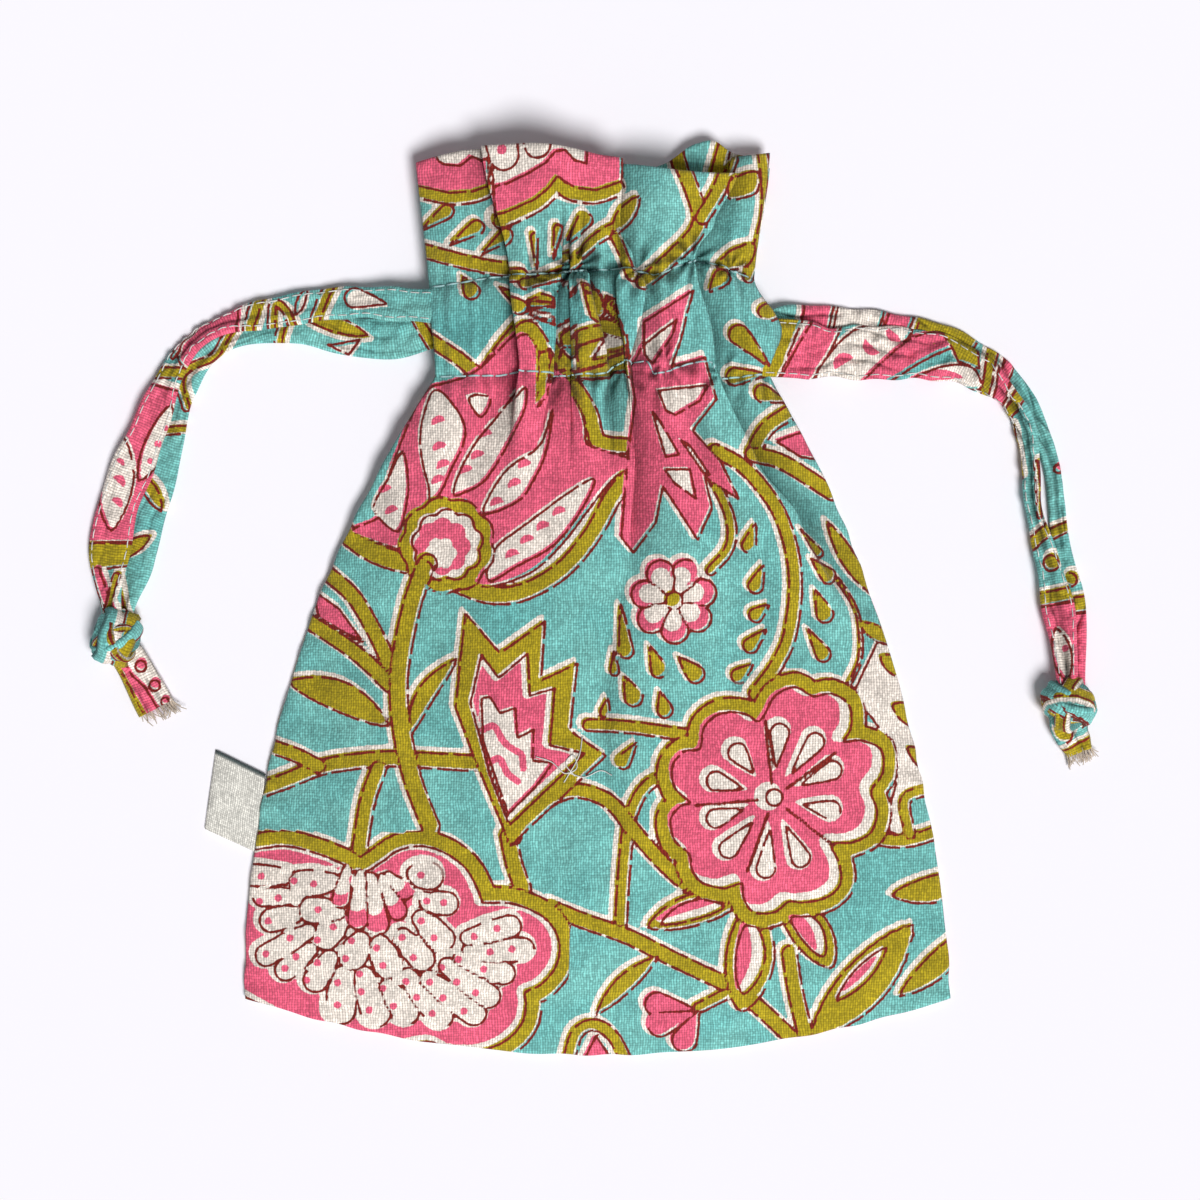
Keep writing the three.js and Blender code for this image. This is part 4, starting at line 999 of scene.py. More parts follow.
def puckered(x, y):
    """Ridges that radiate from the points where a stitch row is drawn tight."""
    rise = np.zeros(x.shape)
    for spot_x, spot_y, height, rays, phase, reach in PUCKERS:
        dx, dy = x - spot_x, y - spot_y
        away = np.hypot(dx, dy)
        rise = rise + 1.3 * height * np.cos(rays * np.arctan2(dx, dy) + phase) * smooth(away / 2.0) * bell(away / reach)
    return rise


def wrinkled(a, r):
    """Soft ridges and hollows that fan out from the neck over the body."""
    fan = sum(height * bell((a - place) / width) for place, height, width in WRINKLES)
    return fan * smooth((r - 0.5) / 0.4) * (1.0 - smooth((r - 1.0) / 0.15))


def front_face(a, r):
    """Outer face of the front panel: crowned body, bulging casing, pleats, and the frill's soft tubes."""
    x = a * half_width(r) + side_drift(a, r)
    y = front_plan(a, r)
    aside, lift = folded(a, r)
    sewn = neck_arch(a) + 2 * CLOTH
    rising = 1.0 - (1.0 - np.minimum(1.0, r / CROWN_RUN)) ** 2
    crowned = FRONT_EDGE + CROWN * (1.0 - a * a) ** 0.9 * rising
    body = mix(crowned, sewn, smooth((r - 0.55) / 0.45)) - creases(a, r)
    casing = sewn + CHANNEL * bulge(np.clip(r - 1.0, 0.0, 1.0))
    up = np.clip(r - 2.0, 0.0, 1.0)
    frill = sewn + frill_lobes(a) * smooth(up)
    z = np.where(r <= 1.0, body, np.where(r <= 2.0, casing, frill)) + lift + tubed(a, r)
    z = z + gathered(a, r, x) + wrinkled(a, r) + puckered(x + aside, y)
    inland = smooth((1.0 - np.abs(a)) / 0.12) * smooth(r / 0.08)
    z = z + inland * (0.5 * ruffle(x, y, 34.0, 3) + 0.2 * ruffle(x, y, 11.0, 4)) + seam_puckers(a, r, x, y)
    z = z - 0.5 * bell((3.0 - r) / 0.02) - 0.35 * bell((1.0 - np.abs(a)) / 0.006)
    floor = FRONT_EDGE - 0.35
    return np.stack([x + aside, y, np.maximum(z, floor)], -1)


PLEAT_SLIPS = [1.6, -1.8, 0.6, -0.6, 0.8, 0.0, 0.0]


def front_print(a, r):
    """Where the print lies: drawn as seen from above, and stepped along the folds of the casing."""
    x = a * half_width(r) + side_drift(a, r)
    aside, _ = folded(a, r)
    reach = smooth((r - 0.9) / 0.08) * (1.0 - smooth((r - 2.0) / 0.5))
    slip = np.zeros(a.shape)
    level = 0.0
    for fold, after in zip(FOLDS, PLEAT_SLIPS):
        t = (a - through(r, fold.rows, fold.places)) / fold.width
        slip = slip + (after - level) * smooth(0.5 + t)
        level = after
    return x + aside, front_plan(a, r) + slip * reach


def fold_shade(a, r):
    """Painted shade on the cloth that lies under the edge of a fold, fading away from it."""
    shade = np.zeros(a.shape)
    for fold in FOLDS:
        below = -fold.over * (a - through(r, fold.rows, fold.places)) / fold.width
        fading = smooth(below / 0.8) * np.exp(-np.maximum(0.0, below - 1.6) / 1.3)
        shade = np.maximum(shade, fold_reach(fold, r) * fading)
    return shade


def hollows(z, rows, columns, depth):
    """How far each point lies under the mean height around it, as a share of depth."""
    mean = z
    for axis, reach in ((0, rows), (1, columns)):
        wide = np.pad(mean, [(reach, reach) if k == axis else (0, 0) for k in range(2)], mode="edge")
        spots = np.arange(z.shape[axis])
        mean = sum(np.take(wide, spots + k, axis) for k in range(2 * reach + 1)) / (2 * reach + 1)
    return np.clip((mean - z) / depth, 0.0, 1.0)


def lowest_near(z, rows, columns):
    """Smallest height in a window round each point."""
    low = z
    for axis, reach in ((0, rows), (1, columns)):
        margin = [(reach, reach) if k == axis else (0, 0) for k in range(2)]
        wide = np.pad(low, margin, mode="edge")
        spots = np.arange(z.shape[axis])
        low = np.min([np.take(wide, spots + k, axis) for k in range(2 * reach + 1)], axis=0)
    return low


FRONT_ROWS = (219, 36, 48)
FRONT_COLUMNS = 255
# Depths under the mean height at which the painted shade of folds and wrinkles is full, and the share of it on the body
FOLD_DEPTH = 1.5
WRINKLE_DEPTH = 0.42
BODY_SHADE = 0.8
INNER_STEP = 3
# Patches of painted shade on the body, in a deeper turquoise: middle across and up, reach across and up, depth
SHADE_PATCHES = ((-0.33, 0.66, 0.20, 0.18, 0.8), (0.75, 0.20, 0.35, 0.12, 0.6))


def row_places(counts):
    """Row positions from bottom seam to mouth, with the given number of steps in body, casing and frill."""
    parts = [np.linspace(k, k + 1, n, endpoint=False) for k, n in enumerate(counts)]
    return np.concatenate(parts + [[3.0]])


def make_front(material):
    """The front panel: a fine printed outer face and a plain inner face, closed at the seams."""
    r1 = row_places(FRONT_ROWS)
    a1 = np.linspace(-1.0, 1.0, FRONT_COLUMNS + 1)
    r, a = np.meshgrid(r1, a1, indexing="ij")
    outer = front_face(a, r)
    low = lowest_near(outer[..., 2], 3, 9)
    ri, ai = r[::INNER_STEP, ::INNER_STEP], a[::INNER_STEP, ::INNER_STEP]
    wall = np.where(ri > 1.0, 2 * CLOTH, CLOTH)
    inner = outer[::INNER_STEP, ::INNER_STEP].copy()
    inner[..., 0] = ai * half_width(ri) + side_drift(ai, ri)
    inner[..., 2] = np.maximum(low[::INNER_STEP, ::INNER_STEP] - wall, FRONT_EDGE - CLOTH)
    mouth = smooth((np.abs(ai) - 0.9) / 0.1) * ((ri > 1.05) & (ri < 1.95))
    inner[..., 0] -= np.sign(ai) * 5.0 * mouth
    u, v = front_print(a, r)
    ui, vi = u[::INNER_STEP, ::INNER_STEP], v[::INNER_STEP, ::INNER_STEP]
    cloth = np.vstack([np.column_stack([u.ravel(), v.ravel()]), np.column_stack([ui.ravel(), vi.ravel()])])
    fields = print_on(cloth[:, 0], cloth[:, 1], DESIGN)
    fields["wrong_side"] = np.concatenate([np.zeros(u.size), (ri < 1.0).astype(float).ravel()])
    # Painted shade: a deeper turquoise round the casing, strongest at its left, and in the patches on the body.
    deep_shade = bell((r - 1.45) / 0.5) * mix(1.0, 0.4, smooth((a + 0.3) / 0.8))
    for across, up, wide, tall, depth in SHADE_PATCHES:
        deep_shade = np.maximum(deep_shade, depth * bell((a - across) / wide) * bell((r - up) / tall))
    fields["deep_shade"] = np.concatenate([deep_shade.ravel(), np.zeros(ri.size)])
    # Painted shade: darker where the cloth lies under its neighbours, under the edges of folds and beside the middle
    # crease
    sunk = np.maximum(hollows(outer[..., 2], 5, 13, FOLD_DEPTH), hollows(outer[..., 2], 1, 3, WRINKLE_DEPTH))
    soft = BODY_SHADE * hollows(outer[..., 2], 9, 9, FOLD_DEPTH) * smooth((1.0 - np.abs(a)) / 0.1) * smooth(r / 0.08)
    sunk = np.maximum(np.maximum(sunk * smooth((r - 0.7) / 0.25), 0.85 * fold_shade(a, r)), soft)
    sunk = np.maximum(sunk, crease_shade(a, r))
    fields["painted_shade"] = np.concatenate([sunk.ravel(), np.zeros(ri.size)])
    points = np.vstack([outer.reshape(-1, 3), inner.reshape(-1, 3)])
    return make_piece("front_cloth", points, shell_faces(r.shape, ri.shape), material, fields, cloth)


BACK_ROWS = (150, 22, 36)
BACK_COLUMNS = 172
BACK_RIPPLE = 1.2


def back_face(a, r):
    """Lower face of the back panel: flat on the floor, rippled where it is gathered."""
    x = a * half_width(r) + side_drift(a, r)
    y = plan_y(a, r, back_top(a))
    gathers = BACK_RIPPLE * (0.5 - 0.5 * np.cos(a * 44.0 + 1.5 * np.sin(5.0 * a))) * bell(a / 0.55)
    reach = smooth((r - 0.8) / 0.2) * (1.0 - 0.6 * smooth((r - 2.0) / 0.7))
    up = np.clip(r - 2.0, 0.0, 1.0)
    corner = smooth((a - 0.35) / 0.4) * smooth(up)
    return np.stack([x, y, gathers * reach + 0.4 * frill_lobes(a) * smooth(up) + 2.6 * corner * up], -1)


def make_back(material):
    """The back panel, printed outside; its turned-over facing shows its print inside the mouth."""
    r1 = row_places(BACK_ROWS)
    a1 = np.linspace(-1.0, 1.0, BACK_COLUMNS + 1)
    r, a = np.meshgrid(r1, a1, indexing="ij")
    lower = back_face(a, r)
    upper = lower.copy()
    upper[..., 2] += np.where(r > 1.0, 2 * CLOTH, CLOTH)
    u, v = -lower[..., 0], lower[..., 1]
    top = plan_y(a, np.full(r.shape, 3.0), back_top(a))
    facing_v = np.where(r > 1.0, 0.75 * v + 0.25 * top - 4.0, v)
    facing_u = np.where(r > 1.0, lower[..., 0] + 1.0, u)
    cloth = np.vstack([np.column_stack([u.ravel(), v.ravel()]), np.column_stack([facing_u.ravel(), facing_v.ravel()])])
    fields = print_on(cloth[:, 0], cloth[:, 1], DESIGN)
    fields["wrong_side"] = np.concatenate([np.zeros(u.size), (r < 1.0).astype(float).ravel()])
    points = np.vstack([lower.reshape(-1, 3), upper.reshape(-1, 3)])
    faces = shell_faces(r.shape, r.shape, turned=True)
    return make_piece("back_cloth", points, faces, material, fields, cloth)


# Drawstrings

LOW = 0.75
OVER = 2.1
ROUTES = {
    "left_front": [(-36.0, 64.4, 6.6), (-43.6, 65.0, 4.6), (-52.4, 65.6, 3.0), (-61.2, 65.1, OVER), (-70, 63.6, OVER), (-78.8, 61.9, OVER),
                   (-86.5, 58.8, OVER), (-92, 53.6, OVER), (-95.8, 46.3, OVER), (-99, 38, OVER), (-102.5, 29.7, OVER),
                   (-105.8, 20.9, OVER), (-107.6, 12.1, OVER), (-107.9, 4.4, 2.5), (-106.8, -4.5, 3.8)],
    "left_back": [(-35.0, 60.0, 4.0), (-41.5, 58.6, 2.6), (-46, 57.9, 1.3), (-51, 57.9, LOW), (-57.5, 58.7, LOW), (-66, 60.2, LOW),
                  (-74.4, 59.6, LOW), (-82.1, 57.2, LOW), (-88, 52.6, LOW), (-91.5, 46.4, LOW), (-93.7, 39.7, LOW),
                  (-95.7, 32, LOW), (-98.1, 23.7, LOW), (-100.8, 15.4, LOW), (-103, 6.6, LOW), (-105, -4.5, 2.2)],
    "right_front": [(36.0, 55.4, 6.6), (43.5, 55.2, 4.6), (50.5, 54.6, 3.2), (59.8, 54.6, OVER), (70.8, 54.3, OVER), (79.6, 52.4, OVER),
                    (87.3, 47.9, OVER), (92.4, 42.2, OVER), (94.8, 35.6, OVER), (95.6, 28.7, OVER), (95.9, 21.5, OVER),
                    (97.6, 14.3, OVER), (99.7, 6.6, OVER), (101.4, -1.1, OVER), (102.6, -8.8, 2.6), (103.4, -19, 4)],
    "right_back": [(36.0, 60.0, 3.6), (42, 61.2, 2.2), (47, 61.4, 1.3), (53, 61.2, LOW), (60.5, 60.4, LOW), (70.8, 58.8, LOW),
                   (79.6, 56.1, LOW), (87.8, 51.4, LOW), (94, 44.8, LOW), (97.8, 37, LOW), (100.3, 29.4, LOW), (101.3, 21.8, LOW),
                   (102, 14.3, LOW), (103.2, 6.6, LOW), (104.6, -1.1, LOW), (105.3, -8.8, LOW), (105, -19, 2.2)],
}
TAPE_THICK = 1.3
STRAND_SIDES = 64
TAPE_CREASE = 1.5
TAPE_CRUMPLE = {"left_front": 0.5, "left_back": 0.6, "right_front": 1.25, "right_back": 1.1}
TAPE_BUNCH = 1.5
EDGE_WANDER = 0.07
EDGE_WAVE = 11.0
WIDEST = 12.9
TAPE_WIDTHS = {
    "left_front": ([0.0, 0.25, 0.42, 0.55, 0.68, 0.85, 1.0], [7.4, 7.2, 5.4, 6.4, 9.0, 9.4, 4.6]),
    "left_back": ([0.0, 0.25, 0.42, 0.55, 0.70, 0.88, 1.0], [8.8, 8.0, 4.6, 5.2, 7.8, 8.6, 4.6]),
    "right_front": ([0.0, 0.25, 0.40, 0.48, 0.60, 0.68, 0.85, 1.0], [12.4, 12.0, 8.6, 5.4, 4.2, 4.0, 7.0, 5.0]),
    "right_back": ([0.0, 0.25, 0.42, 0.50, 0.62, 0.70, 0.85, 1.0], [7.4, 7.0, 6.0, 4.8, 3.8, 3.8, 6.0, 5.0]),
}
TAPE_ROLLS = {
    "left_front": ([0.0, 0.3, 0.45, 0.6, 0.8, 1.0], [0.0, 0.1, 0.8, -0.15, 0.12, 0.3]),
    "left_back": ([0.0, 0.3, 0.45, 0.6, 0.8, 1.0], [0.0, 0.05, -0.25, 0.05, 0.1, 0.2]),
    "right_front": ([0.0, 0.3, 0.46, 0.6, 0.8, 1.0], [0.0, -0.08, 0.7, 0.4, -0.1, 0.2]),
    "right_back": ([0.0, 0.3, 0.46, 0.6, 0.8, 1.0], [0.0, 0.05, -0.2, -0.1, 0.1, 0.2]),
}
EDGE = 9.0


def across_tape(near, far, slant=0.0):
    """The part of a tape between two distances along it, with slanting ends."""
    return Patch([(near - slant, -EDGE), (far - slant, -EDGE), (far + slant, EDGE), (near + slant, EDGE)], curved=False)


def bar(place, slant, width):
    """A stem that crosses a tape at a distance along it."""
    return vine([(place - slant, -EDGE), (place + slant, EDGE)], width)


def tape_prints():
    """What each strand shows of the printed cloth it is cut from: distance along it, then across it."""
    left_front = [
        fill(drop((10.4, 0.6), (17.4, -0.4), 2.2), "white", 0),
        olive(bar(24.8, 5.0, 2.2)), fill(blade((27.6, -3.6), (31.0, 2.0), 1.8), "white", 0),
        olive(vine([(32.0, 5), (33.0, 0.4), (35.4, -1.4), (36.8, 4.6)], 1.6)), olive(bar(40.2, 4.6, 2.4)),
        fill(across_tape(43.5, 59.5, 3.0), "pink", 0, 0.0, 0.6), fill(Stroke([(49, -3.0), (60, -0.8)], [0.4, 0.8, 0.4]), "white", 1),
        olive(bar(63.4, -3.6, 2.4), 0.3), fill(across_tape(66.8, 103.0, -1.4), "pink", 0, 0.0, 1.0),
        fill(blade((69.6, 3.2), (88.0, 3.0), 5.4, 0.4), "white", 1),
        fill(dot((75.5, 3.4), 0.6), "pink"), fill(dot((79.2, 3.1), 0.8), "pink"), fill(dot((83.4, 3.1), 0.7), "pink"),
        fill(blade((80.0, -4.6), (100.5, 0.4), 7.6, 0.6), "white", 1),
        fill(moon((86.4, -3.0), 1.2, 160), "pink"), fill(moon((90.4, -1.6), 1.7, 160), "pink"), fill(moon((95.0, -0.4), 1.6, 160), "pink"),
        olive(across_tape(103.2, 108.8, -1.0), 0.4), fill(Stroke([(109.5, -2.2), (121, 1.2)], [1.0, 1.2]), "pink", 0, 0.0, 0.6),
        olive(vine([(110.5, 2.6), (122, -1.6)], 1.4))]
    left_back = [
        olive(bar(3.0, -3.0, 2.4)), olive(blade((31, -1.8), (16.0, -0.2), 3.4, 0.6)),
        fill(Patch([(17.6, 1.0), (24.2, 3.2), (19.6, 4.6)], curved=False), "white", 0), olive(bar(35.0, 3.0, 1.8)),
        olive(vine([(44, -3.0), (52, 1.6), (60, -1.4), (66, 2.4)], 1.6)), olive(bar(72, -3, 1.8)),
        olive(blade((83.0, -3.6), (89.4, 3.4), 3.0)), olive(blade((102.4, -3.8), (95.6, 2.6), 3.2)), olive(vine([(107, -3), (116, 1)], 2.0))]
    right_front = [
        olive(across_tape(-6.0, 5.6, 3.4), 0.3), fill(across_tape(6.8, 14.6, 4.4), "pink", 0, 0.0, 0.8),
        fill(Patch([(12.2, -5.0), (17.0, -7.4), (25.0, -4.8), (31.0, 2.0), (32.5, 6.6), (23.0, 6.4), (16.6, 2.2)]), "white", 0),
        fill(moon((18.6, -2.6), 2.5, 120), "pink"), fill(moon((25.0, 1.4), 2.2, 230), "pink"), fill(moon((29.8, 4.4), 1.9, 230), "pink"),
        fill(Patch([(21.4, -7.4), (28, -6), (36, -1), (43, 4.8), (36.4, 5.4), (29.4, 0.8)]), "pink", 0),
        fill(Patch([(31, -7.4), (40, -7), (51, -2.6), (47, 0.8), (40, -1.8)]), "white", 0), fill(blade((33, -5.8), (47, -2.4), 2.4), "pink"),
        olive(Patch([(37.5, 7.4), (45, 6.6), (48.4, 1.4), (43.6, 0.6)], curved=False), 0.4), olive(bar(51.6, -4.4, 2.0)),
        fill(bar(55.6, -5.0, 2.8), "pink", 0, 0.0, 0.6), olive(bar(59.8, -4.0, 2.4)),
        olive(vine([(64, -1.8), (70, -2.4), (76, -1.8)], 0.8)), olive(vine([(73, 1.9), (80, 2.1), (85, 1.4)], 0.9)),
        olive(bar(89.4, -4.6, 2.5)), olive(dot((95.6, 0.9), 1.7)), olive(across_tape(101.6, 104.6, 0.0), 0.4),
        fill(across_tape(104.8, 124.0), "pink", 0), fill(blade((110.0, -0.8), (122.0, 0.4), 4.2), "white", 1), fill(dot((115.2, 0.2), 0.8), "pink")]
    right_back = [
        fill(across_tape(8.6, 15.0, 1.6), "pink", 0, 0.0, 0.6), fill(across_tape(16.0, 26.0, 1.4), "white", 0),
        fill(across_tape(27.0, 32.4, 1.8), "pink", 0), olive(across_tape(34.0, 47.0, 1.2), 0.5), olive(bar(52.4, -3.6, 2.2)),
        fill(bar(56.6, -4.0, 2.2), "pink", 0, 0.0, 0.5), fill(dot((80.0, 1.6), 0.9), "pink", 0), olive(bar(93.6, -3.0, 2.3)),
        olive(dot((104.6, 1.2), 1.5)), olive(across_tape(108.6, 112.0), 0.4), fill(across_tape(112.2, 130.0), "pink", 0)]
    return {"left_front": left_front, "left_back": left_back, "right_front": right_front, "right_back": right_back}


TAPE_DESIGNS = tape_prints()


def make_strand(name, material):
    """One free strand: folded tape along its route, narrowed, thickened and creased where it is bunched."""
    path = spline(ROUTES[name], 22)
    share = run_of(path) / run_of(path)[-1]
    widths = through(share, *TAPE_WIDTHS[name])
    roll = through(share, *TAPE_ROLLS[name])
    wave = ruffle(path[:, 0], path[:, 1], EDGE_WAVE, len(name))
    bunch = np.clip(1.0 - widths / widths.max(), 0.0, 1.0)
    thick = TAPE_THICK + TAPE_BUNCH * bunch
    widths = np.minimum(widths * (1.0 + EDGE_WANDER * wave), WIDEST)
    points, faces, along, across, sunk, lay = ribbon(path, widths, thick, roll, STRAND_SIDES, TAPE_CREASE * bunch,
                                                      len(name), TAPE_CRUMPLE[name])
    points[:, 2] = np.maximum(points[:, 2], 0.0)
    cloth = np.column_stack([along, across])
    fields = print_on(along, across, TAPE_DESIGNS[name])
    fields["painted_shade"] = sunk
    piece = make_piece(name + "_strand", points, faces, material, fields, cloth)
    return piece, path, lay


LOOP_PRINT = (-40.0, 20.0)
LOOP_REACH = 0.90


def make_loop(ends, lane, side, material):
    """The held part of a drawstring: through the front of the casing, round the far seam and back behind."""
    y = NECK_Y + lane * CASING
    a = np.linspace(-0.97, LOOP_REACH, 40) * -side
    front = np.column_stack([a * NECK_HALF, np.full(40, y), neck_arch(a) + 1.3])
    turn = np.linspace(0.0, math.pi, 9)[1:-1]
    low, high = 2.7, front[-1, 2]
    bend = np.column_stack([-side * (NECK_HALF * LOOP_REACH + 1.6 * np.sin(turn)), np.full(7, y),
                            mix(high, low, 0.5 - 0.5 * np.cos(turn))])
    back = np.column_stack([front[::-1, 0], np.full(40, y), np.full(40, low)])
    path = np.vstack([front, bend, back])
    points, faces, along, across = ribbon_flat(path, 6.0, 0.8)
    cloth = np.column_stack([along + LOOP_PRINT[0], across + LOOP_PRINT[1]])
    return make_piece(ends, points, faces, material, print_on(cloth[:, 0], cloth[:, 1], DESIGN), cloth)


def ribbon_flat(path, width, thick):
    """A tape whose width always lies along Y, as it does inside the casing."""
    count = len(path)
    ahead = np.gradient(path, axis=0)
    ahead /= np.linalg.norm(ahead, axis=1)[:, None]
    side = np.broadcast_to(np.array([0.0, 1.0, 0.0]), path.shape)
    face = np.cross(ahead, side)
    section = np.array([(-1, -1), (1, -1), (1, 1), (-1, 1)], float) / 2
    points = (path[:, None, :] + side[:, None, :] * (section[:, 0] * width)[None, :, None]
              + face[:, None, :] * (section[:, 1] * thick)[None, :, None])
    a = np.arange(count - 1)[:, None] * 4 + np.arange(4)[None, :]
    b = np.arange(count - 1)[:, None] * 4 + (np.arange(4)[None, :] + 1) % 4
    quads = np.stack([a, b, b + 4, a + 4], -1).reshape(-1, 4).tolist()
    last = (count - 1) * 4
    faces = quads + [[3, 2, 1, 0], [last, last + 1, last + 2, last + 3]]
    along = np.repeat(run_of(path), 4)
    across = np.tile(section[:, 0] * width, count)
    return points.reshape(-1, 3), faces, along, across


# Knots and their frayed tails

TAILS = {
    "left": [(-106.5, -8, 3.0), (-104.6, -11, 2.4), (-102.5, -14.5, 1.8), (-100.2, -19, 1.4), (-97.6, -24, 1.2)],
    "right": [(103.9, -23.4, 3.0), (103.8, -27, 2.8), (104.5, -29.6, 2.2), (105.6, -31.8, 1.7), (106.4, -33.6, 1.3)],
}
TAIL_WIDTHS = {"left": ([0.0, 0.35, 1.0], [5.0, 7.6, 8.6]), "right": ([0.0, 0.35, 0.7, 1.0], [7.0, 8.6, 7.4, 6.0])}
TAIL_DESIGNS = {
    "left": [fill(across_tape(-4, 30), "pink", 0), olive(vine([(-2, -3.4), (9, -3.6), (24, -3.2)], 2.2), 0.4),
             fill(Patch([(4, 0.4), (8, -0.8), (13, 0.6), (20, 1.4), (20, 6), (4, 6)]), "white", 1),
             fill(dot((8.0, 1.9), 1.2), "pink", 2), fill(dot((13.2, 2.6), 1.2), "pink", 2), fill(dot((17.4, 3.0), 0.9), "pink", 2)],
    "right": [olive(dot((4.6, -1.4), 2.2)), olive(dot((4.2, 3.0), 0.7)), olive(across_tape(8.2, 20.0), 0.5)],
}
Knot = namedtuple("Knot", "centre radii wraps")
Wrap = namedtuple("Wrap", "slant lean width print")
KNOTS = {
    "left": Knot((-106.0, -8.1, 3.7), (5.3, 5.7, 3.3),
                 [Wrap(0.40, 0.85, 4.4, "plain"), Wrap(1.80, 0.70, 5.6, "plain"), Wrap(1.30, -0.22, 8.4, "parted"), Wrap(0.50, -0.80, 3.6, "plain")]),
    "right": Knot((103.7, -22.9, 3.7), (5.3, 6.2, 3.3),
                  [Wrap(1.35, 0.50, 4.4, "green"), Wrap(-0.30, -0.70, 5.2, "plain"), Wrap(-0.06, 0.74, 4.8, "green"), Wrap(-0.55, 0.04, 5.4, "edged")]),
}
WRAP_DESIGNS = {
    "plain": [olive(vine([(-4, 2.6), (12, 1.9), (40, 2.7)], 1.3), 0.4)],
    "edged": [fill(vine([(-4, 2.1), (40, 2.1)], 0.9), "white"), olive(vine([(-4, 2.6), (40, 2.6)], 0.6), 0.0)],
    "green": [olive(vine([(-4, 0.5), (14, -0.3), (40, 0.6)], 2.9), 0.6)],
    "parted": [fill(vine([(-4, -0.3), (40, -0.3)], 2.2), "white"), olive(vine([(-4, 3.6), (40, 3.6)], 5.0), 0.3)],
}


def make_knot(side, material):
    """A pulled-tight knot: a crumpled heart and bands of tape wound over it at different slants."""
    centre, radii = np.array(KNOTS[side].centre), np.array(KNOTS[side].radii)
    t, p = np.meshgrid(np.linspace(0.0, math.pi, 26), np.linspace(0.0, math.tau, 40, endpoint=False), indexing="ij")
    swell = 0.92 + 0.09 * np.sin(3 * p + 5 * t)
    ball = np.stack([np.sin(t) * np.cos(p), np.sin(t) * np.sin(p), np.cos(t)], -1) * radii * swell[..., None] + centre
    points = [ball.reshape(-1, 3)]
    cloths = [np.column_stack([(p * radii[0]).ravel(), (t * radii[1]).ravel()])]
    prints = [print_on(cloths[0][:, 0], cloths[0][:, 1], WRAP_DESIGNS["plain"])]
    # Painted shade: the heart under the wraps is darkened all over.
    prints[0]["painted_shade"] = np.full(p.size, 0.8)
    i, j = np.meshgrid(np.arange(25), np.arange(40), indexing="ij")
    a, b = i * 40 + j, i * 40 + (j + 1) % 40
    faces = np.stack([a, a + 40, b + 40, b], -1).reshape(-1, 4).tolist()
    first = len(points[0])
    for order, wrap in enumerate(KNOTS[side].wraps):
        turn = np.linspace(0.0, math.tau, 72)
        axis_x = np.array([math.cos(wrap.slant), math.sin(wrap.slant), 0.0])
        axis_z = np.array([-math.sin(wrap.slant) * wrap.lean, math.cos(wrap.slant) * wrap.lean, 1.0])
        axis_z /= np.linalg.norm(axis_z)
        loop = np.cos(turn)[:, None] * axis_x + np.sin(turn)[:, None] * axis_z
        stretch = 1.0 / np.sqrt(((loop / radii) ** 2).sum(1))
        path = centre + loop * (stretch * (0.84 + 0.04 * order + 0.05 * np.sin(turn * 0.5)))[:, None]
        ring, ring_faces, along, across, sunk = band(path, centre, wrap.width, 1.6, order)
        points.append(ring)
        cloths.append(np.column_stack([along, across]))
        prints.append(print_on(along, across, WRAP_DESIGNS[wrap.print]))
        prints[-1]["painted_shade"] = sunk
        faces += [[first + k for k in face] for face in ring_faces]
        first += len(ring)
    points = np.vstack(points)
    points[:, 2] = np.maximum(points[:, 2], 0.02)
    fields = {key: np.concatenate([part[key] for part in prints]) for key in prints[0]}
    return make_piece(side + "_knot_wraps", points, faces, material, fields, np.vstack(cloths))


def band(path, centre, width, thick, seed, sides=20):
    """A creased tape wound round a centre: its flat side faces outwards all the way."""
    ahead = np.gradient(path, axis=0)
    ahead /= np.linalg.norm(ahead, axis=1)[:, None]
    out = path - centre
    out /= np.linalg.norm(out, axis=1)[:, None]
    side = np.cross(out, ahead)
    wide, high = oblong(sides)
    along = np.broadcast_to(run_of(path)[:, None], (len(path), sides))
    across = np.broadcast_to(wide * width / 2, along.shape)
    high = high * thick / 2 + np.maximum(high, 0.0) * 0.6 * crumpled(along, across, seed)
    # Painted shade in the creases and along both edges, where a band dips under its neighbour.
    sunk = np.maximum(0.6 * creased_dark(along, across, seed), 0.9 * smooth((np.abs(wide) - 0.72) / 0.28))
    points = path[:, None, :] + side[:, None, :] * across[..., None] + out[:, None, :] * high[..., None]
    count = len(path)
    a = np.arange(count - 1)[:, None] * sides + np.arange(sides)[None, :]
    b = np.arange(count - 1)[:, None] * sides + (np.arange(sides)[None, :] + 1) % sides
    faces = np.stack([a, b, b + sides, a + sides], -1).reshape(-1, 4).tolist()
    last = (count - 1) * sides
    faces += [list(range(sides))[::-1], [last + k for k in range(sides)]]
    return points.reshape(-1, 3), faces, along.ravel(), across.ravel(), sunk.ravel()


def make_tail(side, material):
    """The short end below a knot, opening towards its cut edge."""
    path = spline(TAILS[side], 14)
    share = run_of(path) / run_of(path)[-1]
    widths = through(share, *TAIL_WIDTHS[side])
    points, faces, along, across, sunk, lay = ribbon(path, widths, 1.5, sides=28, seed=len(side))
    points[:, 2] = np.maximum(points[:, 2], 0.02)
    cloth = np.column_stack([along, across])
    fields = print_on(along, across, TAIL_DESIGNS[side])
    fields["painted_shade"] = sunk
    return make_piece(side + "_tail", points, faces, material, fields, cloth), path, lay


FRAY_COUNT = 46
FRAY_RADIUS = 0.11


